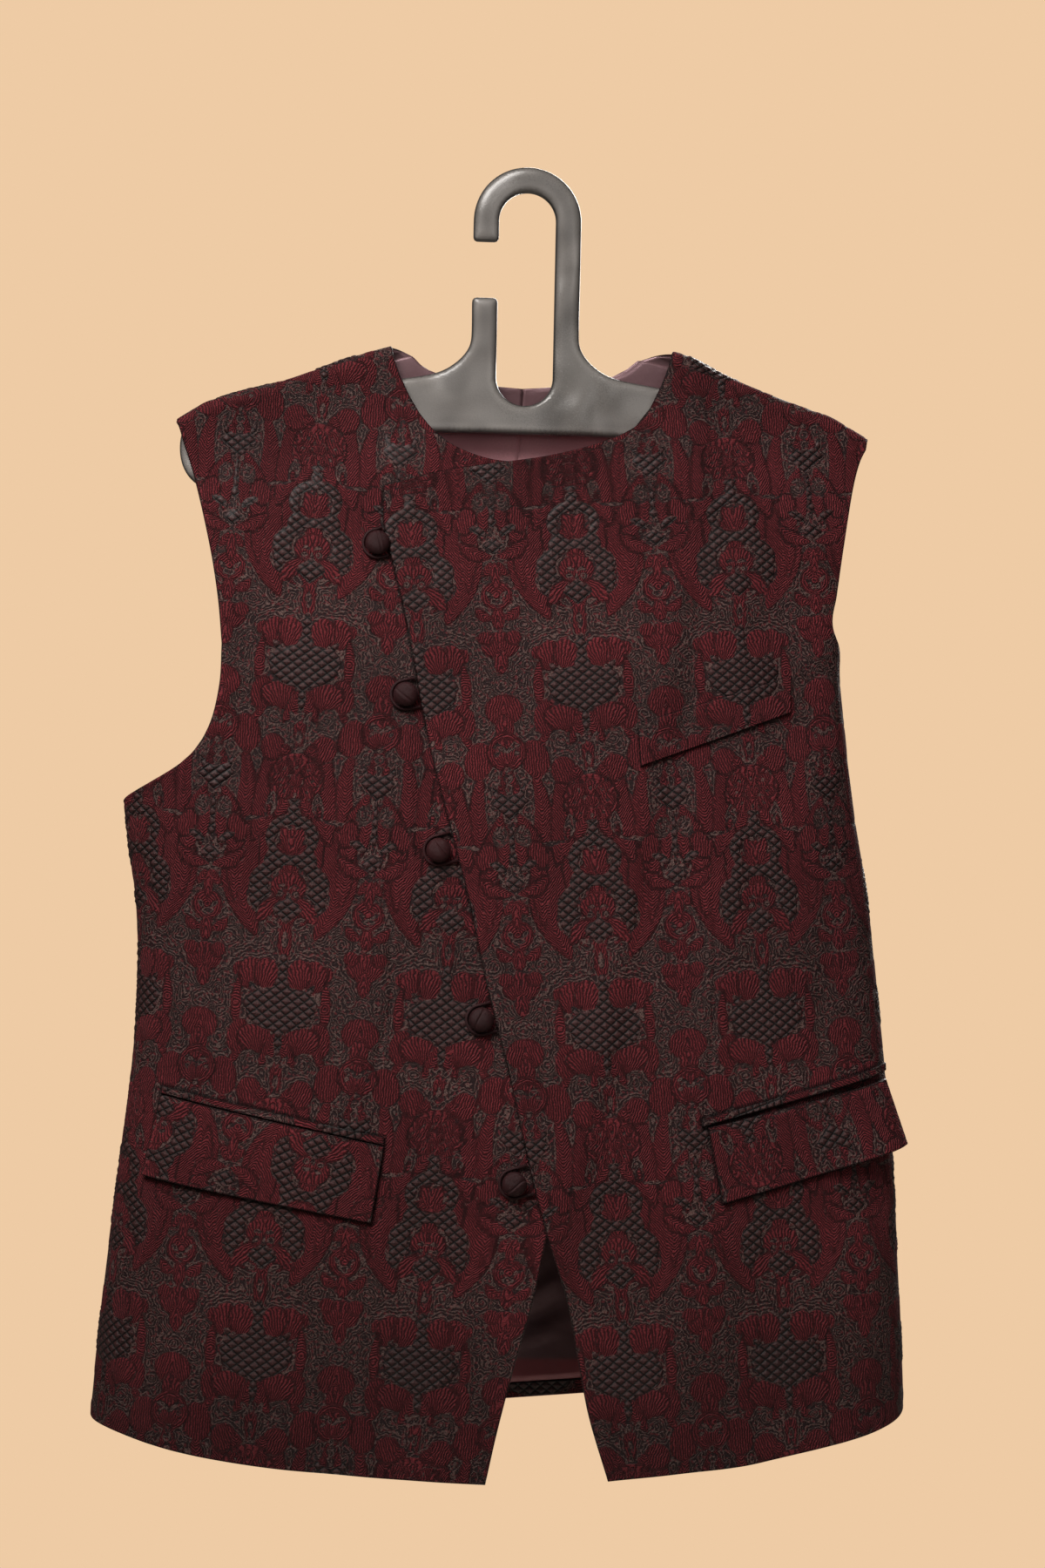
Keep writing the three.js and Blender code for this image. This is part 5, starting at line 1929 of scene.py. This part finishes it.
@dataclass(frozen=True)
class Brocade:
    """The damask: ribbed leaves and quilted black pads on a ground of fine scrolled lines."""

    name: str = "damask_brocade"
    leaf: Colour = linear(104, 37, 42)
    leaf_groove: Colour = linear(44, 13, 17)
    ground: Colour = linear(27, 12, 14)
    ground_line: Colour = linear(90, 70, 66)
    pad: Colour = linear(66, 39, 39)
    pad_groove: Colour = linear(4, 2, 2)
    rib_pitch: float = 1.6
    pad_coat: float = 0.14
    thread_pitch: float = 0.00075
    bump: float = 0.0006

    def make(self, effects: Effects) -> Material:
        """Choose each part's colour by the cloth's fields, with painted shade and highlight, and
        raise its threads.

        Args:
            effects: the shared groups.

        Returns:
            The material.
        """
        material, w = new_finish(self.name)
        place = w.on_cloth()
        leaf, quilt, rib, scroll, edge = (
            w.attribute(n) for n in ("leaf", "quilt", "rib", "scroll", "edge"))
        in_leaf, in_pad = leaf.step(-0.1, 0.55), quilt.step(-0.1, 0.4)
        wander = w.noise(place, 190.0, 3.0) * 3.4
        ribs, = w.group(effects.lines, Phase=wander + rib, Pitch=self.rib_pitch)
        coils, = w.group(effects.lines, Phase=wander.line(1.7, scroll), Pitch=SCROLL_PITCH)
        coils = coils.step(0.35, 0.95)
        puff = self.diamonds(place)
        tone, fibre = w.group(effects.tone, Place=place, Broad=1.05, Fine=1.1)
        speck = fibre.step(0.35, 0.7)
        leaf_colour = w.blend(ribs.step(0.1, 0.7) * speck.line(0.45, 0.55),
                              self.leaf_groove, self.leaf)
        fleck = w.noise(place, 420.0, 1.0).step(0.52, 0.66) * 0.5
        ground_colour = w.blend(coils * speck.line(0.6, 0.4),
                                w.blend(fleck, self.ground, self.leaf), self.ground_line)
        pad_colour = w.blend(puff.step(0.1, 0.62) * speck.line(0.5, 0.5),
                             self.pad_groove, self.pad)
        colour = w.blend(in_pad, w.blend(in_leaf, ground_colour, leaf_colour), pad_colour)
        # Painted shade along every edge and beside each laid piece, and a painted highlight band
        # just inside.
        painted_edge_shade_and_highlight = edge.step(0.2, 1.5) - edge.step(1.6, 4.5) * 0.18
        # Painted shade: the cloth darkens toward the hem, where the light falls off.
        hem = w.in_space().part(2).step(-0.79, -0.63).line(0.28, 0.72)
        threads, = w.group(effects.weave, Place=place, Pitch=self.thread_pitch)
        ground = coils * 0.9
        height = in_leaf * (ribs - ground) + ground
        height = in_pad * (puff * 1.5 - height) + height
        w.shader({
            "Base Color": colour.scaled(painted_edge_shade_and_highlight.line(0.93, 0.24) * (hem * tone)),
            "Roughness": in_pad.line(-0.18, in_leaf.line(0.22, 0.6)),
            "Coat Weight": in_pad * self.pad_coat, "Coat Roughness": 0.38,
            "Specular IOR Level": 0.16, "Sheen Weight": 0.02, "Sheen Roughness": 0.45,
            "Sheen Tint": linear(190, 150, 150),
        }, threads.line(0.22, height), self.bump)
        return material

    def diamonds(self, place: Value) -> Value:
        """0 in the pads' crossing grooves and up to 1 between them: the lesser of two sines.

        Args:
            place: the place on the cloth, in metres.

        Returns:
            The puff.
        """
        millimetres = place.scaled(1000.0)
        across = millimetres.part(0) / DIAMOND_WIDE
        down = millimetres.part(1) / DIAMOND_TALL
        first, second = ((turns * math.pi).math("SINE").math("ABSOLUTE")
                         for turns in (across + down, across - down))
        return first.math("MINIMUM", second)


@dataclass(frozen=True)
class Satin:
    """The plum lining: smooth threads that shine, and small ripples.

    Its colour holds painted light: lightest in the neck opening, with painted shade above the
    collar line and toward the hem, where its last fold shows the burgundy of the cloth.
    """

    name: str = "plum_satin"
    colour: Colour = linear(236, 186, 192)
    shade: Colour = linear(186, 136, 142)
    fold: Colour = linear(88, 24, 28)

    def make(self, effects: Effects) -> Material:
        """Broad changes of tone, painted light and shade by height, fine warp lines and a low
        roughness.

        Args:
            effects: the shared groups.

        Returns:
            The material.
        """
        material, w = new_finish(self.name)
        place, height = w.on_cloth(), w.in_space().part(2)
        tone, fibre = w.group(effects.tone, Place=place, Broad=1.1, Fine=0.25)
        threads, = w.group(effects.weave, Place=place, Pitch=0.0005)
        # Painted light by height: lightest in the neck opening, with painted shade down toward the
        # hem.
        deep = height.step(-0.62, -0.2).line(0.84, 0.16) * (
            height.step(-0.25, -0.185).line(0.62, 0.38))
        # Painted shade on the lining above the collar line.
        painted_collar_shade = height.step(-0.156, -0.136).line(-0.84, 1.0)
        colour = w.blend(tone.step(0.8, 1.2), self.shade, self.colour).scaled(deep * painted_collar_shade)
        w.shader({
            "Base Color": w.blend(height.step(-0.747, -0.743), self.fold, colour),
            "Roughness": fibre.line(0.16, 0.3), "Specular IOR Level": 0.75,
            "Specular Tint": linear(255, 215, 225),
        }, threads.line(0.05, w.noise(place, 60.0, 2.0)), 0.0012, 0.6)
        return material


@dataclass(frozen=True)
class PlainCloth:
    """Plain burgundy cloth for the covered buttons and the loops."""

    name: str
    colour: Colour = linear(51, 15, 18)
    shade: Colour = linear(15, 5, 7)
    pitch: float = 0.0006
    rough: float = 0.52

    def make(self, effects: Effects) -> Material:
        """Crossing threads on Object coordinates, darker where they dip.

        Args:
            effects: the shared groups.

        Returns:
            The material.
        """
        material, w = new_finish(self.name)
        place = w.value("ShaderNodeMapping", {0: w.in_space(), 2: (math.pi / 2, 0.0, 0.4)})
        tone, fibre = w.group(effects.tone, Place=place, Broad=0.8, Fine=0.5)
        threads, = w.group(effects.weave, Place=place, Pitch=self.pitch)
        share = threads.line(0.5, 0.5) * tone.step(0.6, 1.2)
        w.shader({
            "Base Color": w.blend(share, self.shade, self.colour),
            "Roughness": fibre.line(0.14, self.rough - 0.07),
            "Sheen Weight": 0.02, "Specular IOR Level": 0.2,
        }, threads, 0.00012)
        return material


@dataclass(frozen=True)
class Plastic:
    """The hanger's dark grey moulded plastic, with faint sink marks, smears and scratches."""

    name: str = "grey_moulded_plastic"
    colour: Colour = linear(114, 110, 107)
    smear: Colour = linear(94, 91, 88)

    def make(self, effects: Effects) -> Material:
        """Soft dents and a fine grain in the bump, smears, a painted dark rim and a painted
        highlight on the bevel.

        Args:
            effects: the shared groups.

        Returns:
            The material.
        """
        material, w = new_finish(self.name)
        place, edge = w.in_space(), w.attribute("edge")
        share = w.group(effects.tone, Place=place, Broad=1.0, Fine=0.3)[0].step(0.75, 1.25)
        # Painted shade: a dark line along the rim.
        rim = edge.step(0.3, 1.7).line(0.72, 0.28)
        # Painted highlight: a lighter band just inside the rim.
        painted_bevel_highlight = edge.step(1.6, 3.2) - edge.step(3.6, 7.5)
        cloud = w.noise(place, 34.0, 1.0, 0.4).step(0.4, 0.68)
        light = painted_bevel_highlight.line(0.2, 1.0) * cloud.line(-0.34, 1.08)
        grain, dents = w.noise(place, 1400.0, 1.0), w.noise(place, 21.0, 1.0, 0.4)
        w.shader({
            "Base Color": w.blend(share, self.smear, self.colour).scaled(rim * light),
            "Roughness": share.line(0.1, 0.24),
        }, grain.line(0.006, dents), 0.013)
        return material


@dataclass
class Studio:
    """The camera at the photograph's angle, soft lights and a plain pale floor."""

    place: Triple = (-0.1353, -1.9954, -0.3731)
    azimuth: float = -4.0
    roll: float = 1.2
    lens: float = 72.7
    aim: Triple = (0.0, 0.0, -0.4)
    wall: Colour = linear(238, 203, 165)
    bounce: Colour = linear(226, 218, 210)
    floor_radius: float = 1450.0
    floor_height: float = -1300.0
    floor_sides: int = 96

    def build(self) -> None:
        """Make the camera first, then the light and the floor."""
        self.build_camera()
        self.build_world()
        for name, at, size, power, spread, colour in [
            ("key_light", (-0.58, -0.98, 0.78), 0.95, 5.2, 50.0, (1.0, 0.96, 0.92)),
            ("fill_light", (0.6, -2.2, 0.25), 1.0, 4.5, 180.0, (1.0, 0.97, 0.94)),
            ("back_light", (0.9, 2.1, 0.7), 1.6, 85.0, 180.0, (1.0, 0.98, 0.95)),
        ]:
            self.build_light(name, at, size, power, spread, colour)
        self.build_floor()

    def build_camera(self) -> None:
        """A level camera turned by the azimuth and rolled against the hanger's tilt."""
        data = bpy.data.cameras.new("photo_camera")
        data.lens, data.sensor_width = self.lens, 36.0
        camera = bpy.data.objects.new("photo_camera", data)
        turn, roll = math.radians(self.azimuth), math.radians(self.roll)
        right = Vector((math.cos(turn), math.sin(turn), 0.0))
        forward = Vector((-math.sin(turn), math.cos(turn), 0.0))
        up = Vector((0.0, 0.0, 1.0))
        side = right * math.cos(roll) + up * math.sin(roll)
        top = up * math.cos(roll) - right * math.sin(roll)
        axes = Matrix((side, top, -forward)).transposed().to_4x4()
        camera.matrix_world = Matrix.Translation(self.place) @ axes
        bpy.context.scene.collection.objects.link(camera)
        bpy.context.scene.camera = camera

    def build_world(self) -> None:
        """The camera sees a warm pale wall colour, and the cloth a neutral soft light."""
        world = bpy.data.worlds.new("pale_surround")
        world.use_nodes = True
        world.node_tree.nodes.clear()
        w = Wiring(world.node_tree)
        seen = w.value("ShaderNodeLightPath", None, "Is Camera Ray")
        back = w.value("ShaderNodeBackground", {
            "Color": w.blend(seen, self.bounce, self.wall), "Strength": seen.line(0.91, 0.09)})
        w.node("ShaderNodeOutputWorld", {0: back})
        bpy.context.scene.world = world
        bpy.context.scene.view_settings.view_transform = "Standard"

    def build_light(self, name: str, at: Triple, size: float,
                    power: float, spread: float, colour: Triple) -> None:
        """A square area light aimed at the middle of the vest, its spread in degrees.

        Args:
            name: its name.
            at: its place.
            size: its width in metres.
            power: its watts.
            spread: its spread in degrees.
            colour: its colour.
        """
        data = bpy.data.lights.new(name, "AREA")
        data.size, data.energy, data.color = size, power, colour
        data.spread = math.radians(spread)
        light = bpy.data.objects.new(name, data)
        light.location = at
        way = Vector(self.aim) - Vector(at)
        light.rotation_mode = "QUATERNION"
        light.rotation_quaternion = way.to_track_quat("-Z", "Y")
        bpy.context.scene.collection.objects.link(light)

    def build_floor(self) -> None:
        """A round pale floor under the vest, out of the camera's view."""
        count, low = self.floor_sides, self.floor_height
        turn = np.linspace(0.0, 2 * math.pi, count, endpoint=False)
        ring = np.stack([np.cos(turn), np.sin(turn)], axis=1) * self.floor_radius
        points = np.concatenate([ring, [[0.0, 0.0]]])
        points = np.concatenate([points, np.full((count + 1, 1), low)], axis=1)
        k = np.arange(count)
        faces = np.stack([np.full(count, count), k, (k + 1) % count], axis=1)
        material, w = new_finish("pale_floor")
        colour = w.blend(w.noise(w.in_space(), 3.0), linear(236, 226, 214), linear(226, 214, 200))
        w.shader({"Base Color": colour, "Roughness": 0.8})
        mesh_object("studio_floor", points, [(faces, 0, False)], [material])


@dataclass
class Finishes:
    """The vest's materials."""

    effects: Effects = field(default_factory=Effects)
    brocade: Material = field(init=False)
    satin: Material = field(init=False)
    button: Material = field(init=False)
    cord: Material = field(init=False)
    plastic: Material = field(init=False)

    def __post_init__(self) -> None:
        """Make each finish once."""
        self.brocade = Brocade().make(self.effects)
        self.satin = Satin().make(self.effects)
        self.button = PlainCloth("button_cloth").make(self.effects)
        self.cord = PlainCloth("loop_cloth", pitch=0.0008, rough=0.62).make(self.effects)
        self.plastic = Plastic().make(self.effects)


@dataclass
class Shells:
    """The vest's four panels."""

    body: Body
    under: Panel = field(init=False)
    over: Panel = field(init=False)
    back_right: Panel = field(init=False)
    back_left: Panel = field(init=False)

    def __post_init__(self) -> None:
        """Lay out the four panels from their tables."""
        hidden = (0.45, 0.45, 0.6, 1.0, 1.0, 1.0, 1.0, 1.0)
        self.under = Panel("under_front", "front_right", self.body, UNDER_ROWS, UNDER_HEM,
                           Roll(104, 58, -85, -218.5), UNDER_CUT, left=True, weights=hidden)
        self.over = Panel("over_front", "front_left", self.body, OVER_ROWS, OVER_HEM,
                          Roll(104, 96, 94.5, 220.5), OVER_CUT, left=False, lifted=True)
        coarse = Relief(pad=0.8)
        self.back_right = Panel("back_right_half", "back_right", self.body, BACK_RIGHT_ROWS,
                                BACK_HEM, Roll(73, 119, -85, -218.5), BACK_RIGHT_CUT, left=True,
                                back=True, cells=(52, 22), relief=coarse)
        self.back_left = Panel("back_left_half", "back_left", self.body, BACK_LEFT_ROWS,
                               BACK_HEM, Roll(73, 81, 94.5, 220.5), BACK_LEFT_CUT, left=False,
                               back=True, cells=(52, 22), relief=coarse)

    def build_insides(self, finishes: Finishes) -> list[Thing]:
        """Build both backs' turned-up hems and lining halves.

        Args:
            finishes: the vest's materials.

        Returns:
            Both hems and both halves.
        """
        made = []
        for side, panel in (("right", self.back_right), ("left", self.back_left)):
            hem = BackInside(f"turned_hem_strip_{side}", f"turned_hem_{side}", panel, 0.02, 0.31,
                             cells=(2, 36))
            half = BackInside(f"satin_lining_{side}", f"lining_{side}", panel, 0.33,
                              float(panel.last), LINING_WRINKLES)
            made += [hem.build(finishes.brocade, finishes.satin),
                     half.build(finishes.satin, finishes.satin)]
        return made

    def build(self, finishes: Finishes) -> list[Thing]:
        """Build the four panels, once what is sewn on them is made."""
        self.under.laid_on.append((self.over.outline(), FAINT_CONTACT))
        return [p.build(finishes.brocade, finishes.satin)
                for p in (self.under, self.over, self.back_right, self.back_left)]


UNDER_CUT = Cut(-135.0, -301.0, lean=-2.9, above=1.035)
OVER_CUT = Cut(38.0, -310.0, lean=4.5, above=1.035)
BACK_RIGHT_CUT = Cut(-440.0, -330.0)
BACK_LEFT_CUT = Cut(440.0, -330.0)
FLAP_RIGHT_CUT = Cut(-108.2, -540.2, lean=-12.3, upside_down=True)
FLAP_LEFT_CUT = Cut(168.9, -672.1, lean=15.9, upside_down=True)
WELT_CUT = Cut(38.0, -312.0, lean=4.5)


@dataclass
class Pockets:
    """Two jetted pockets with hanging flaps, and the breast pocket's welt."""

    shells: Shells
    jet_tall: float = 5.0

    def at(self, x: float, z: float, along: float = 0.0, to: float | None = None) -> Pair:
        """A place on the front by its x, or one that lies along the walk from it.

        Args:
            x: across.
            z: the height at which x is read.
            along: a walk from there.
            to: the height of the place itself, where it isn't z.

        Returns:
            Walk length and height.
        """
        s = self.shells.body.s_at(z, x, False, False)
        return s + along, z if to is None else to

    def pieces(self) -> list[Patch]:
        """The five pieces, each with its corners from the inner top round to the inner bottom.

        Returns:
            The pieces, not built yet.
        """
        at, under, over = self.at, self.shells.under, self.shells.over
        jet_right = [at(-80, -591), at(-217, -564)]
        jet_left = [at(115, -577), at(115, -577, 122, -543)]

        def jet(ends: list[Pair]) -> tuple[Pair, ...]:
            """A jet's corners, from its upper ends."""
            (s0, z0), (s1, z1) = ends
            return (s0, z0), (s1, z1), (s1, z1 - self.jet_tall), (s0, z0 - self.jet_tall)

        strip = Relief(pad=0.16, leaf=0.12, sunk=0.06)
        thin = Edge(radius=0.7, allowance=0.0)
        return [
            Patch("jet_strip_right", "jet_right", under, jet(jet_right), 1.4,
                  Cut(-100.0, -575.0, 60.0), (3, 32), relief=strip, edge=thin),
            Patch("pocket_flap_right", "flap_right", under,
                  (at(-80, -596.5), at(-217, -569.5), at(-227, -619.5), at(-87, -643.5)), 1.8,
                  FLAP_RIGHT_CUT, (10, 28), ease=0.8, flare=1.5),
            Patch("jet_strip_left", "jet_left", over, jet(jet_left), 1.4,
                  Cut(150.0, -560.0, 60.0), (3, 30), relief=strip, edge=thin, tip=1.5, flare=1.5),
            Patch("pocket_flap_left", "flap_left", over,
                  (at(119, -582.5), at(119, -582.5, 117, -553), at(129, -629, 116, -594.5),
                   at(129, -629)), 1.8, FLAP_LEFT_CUT, (10, 26), ease=0.8, tip=1.5, flare=9),
            Patch("breast_pocket_welt", "breast_welt", over,
                  (at(72, -334.5), at(169, -302), at(169, -325), at(74, -361)), 1.6, WELT_CUT,
                  (5, 20), crisp=2.2),
        ]

    def build(self, finishes: Finishes) -> list[Thing]:
        """Build all five pieces."""
        return [piece.build(finishes.brocade, finishes.satin) for piece in self.pieces()]


@dataclass
class Closure:
    """The five covered buttons and their loops."""

    shells: Shells

    def build(self, finishes: Finishes) -> list[Thing]:
        """Build every button and loop from the table.

        Args:
            finishes: the vest's materials.

        Returns:
            Ten pieces.
        """
        made = []
        for i, (x, z, fold) in enumerate(zip(*(BUTTONS[c] for c in ("x", "z", "fold"))), 1):
            fastening = Fastening(i, x, z, fold, self.shells.under)
            made += [fastening.build_button(finishes.button),
                     fastening.build_loop(finishes.cord)]
        return made


def report(made: list[Thing]) -> None:
    """Log each piece with its count of triangles."""
    for piece in made:
        piece.data.calc_loop_triangles()
        LOG.info("%s: %d triangles", piece.name, len(piece.data.loop_triangles))


def main() -> None:
    """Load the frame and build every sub-assembly in order."""
    logging.basicConfig(level=logging.INFO, format="%(message)s")
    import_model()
    Studio().build()
    finishes = Finishes()
    shells = Shells(Body())
    report([Hanger().build(finishes.plastic)])
    report(shells.build_insides(finishes))
    report(Pockets(shells).build(finishes))
    report(Closure(shells).build(finishes))
    report(shells.build(finishes))


if __name__ == "__main__":
    main()
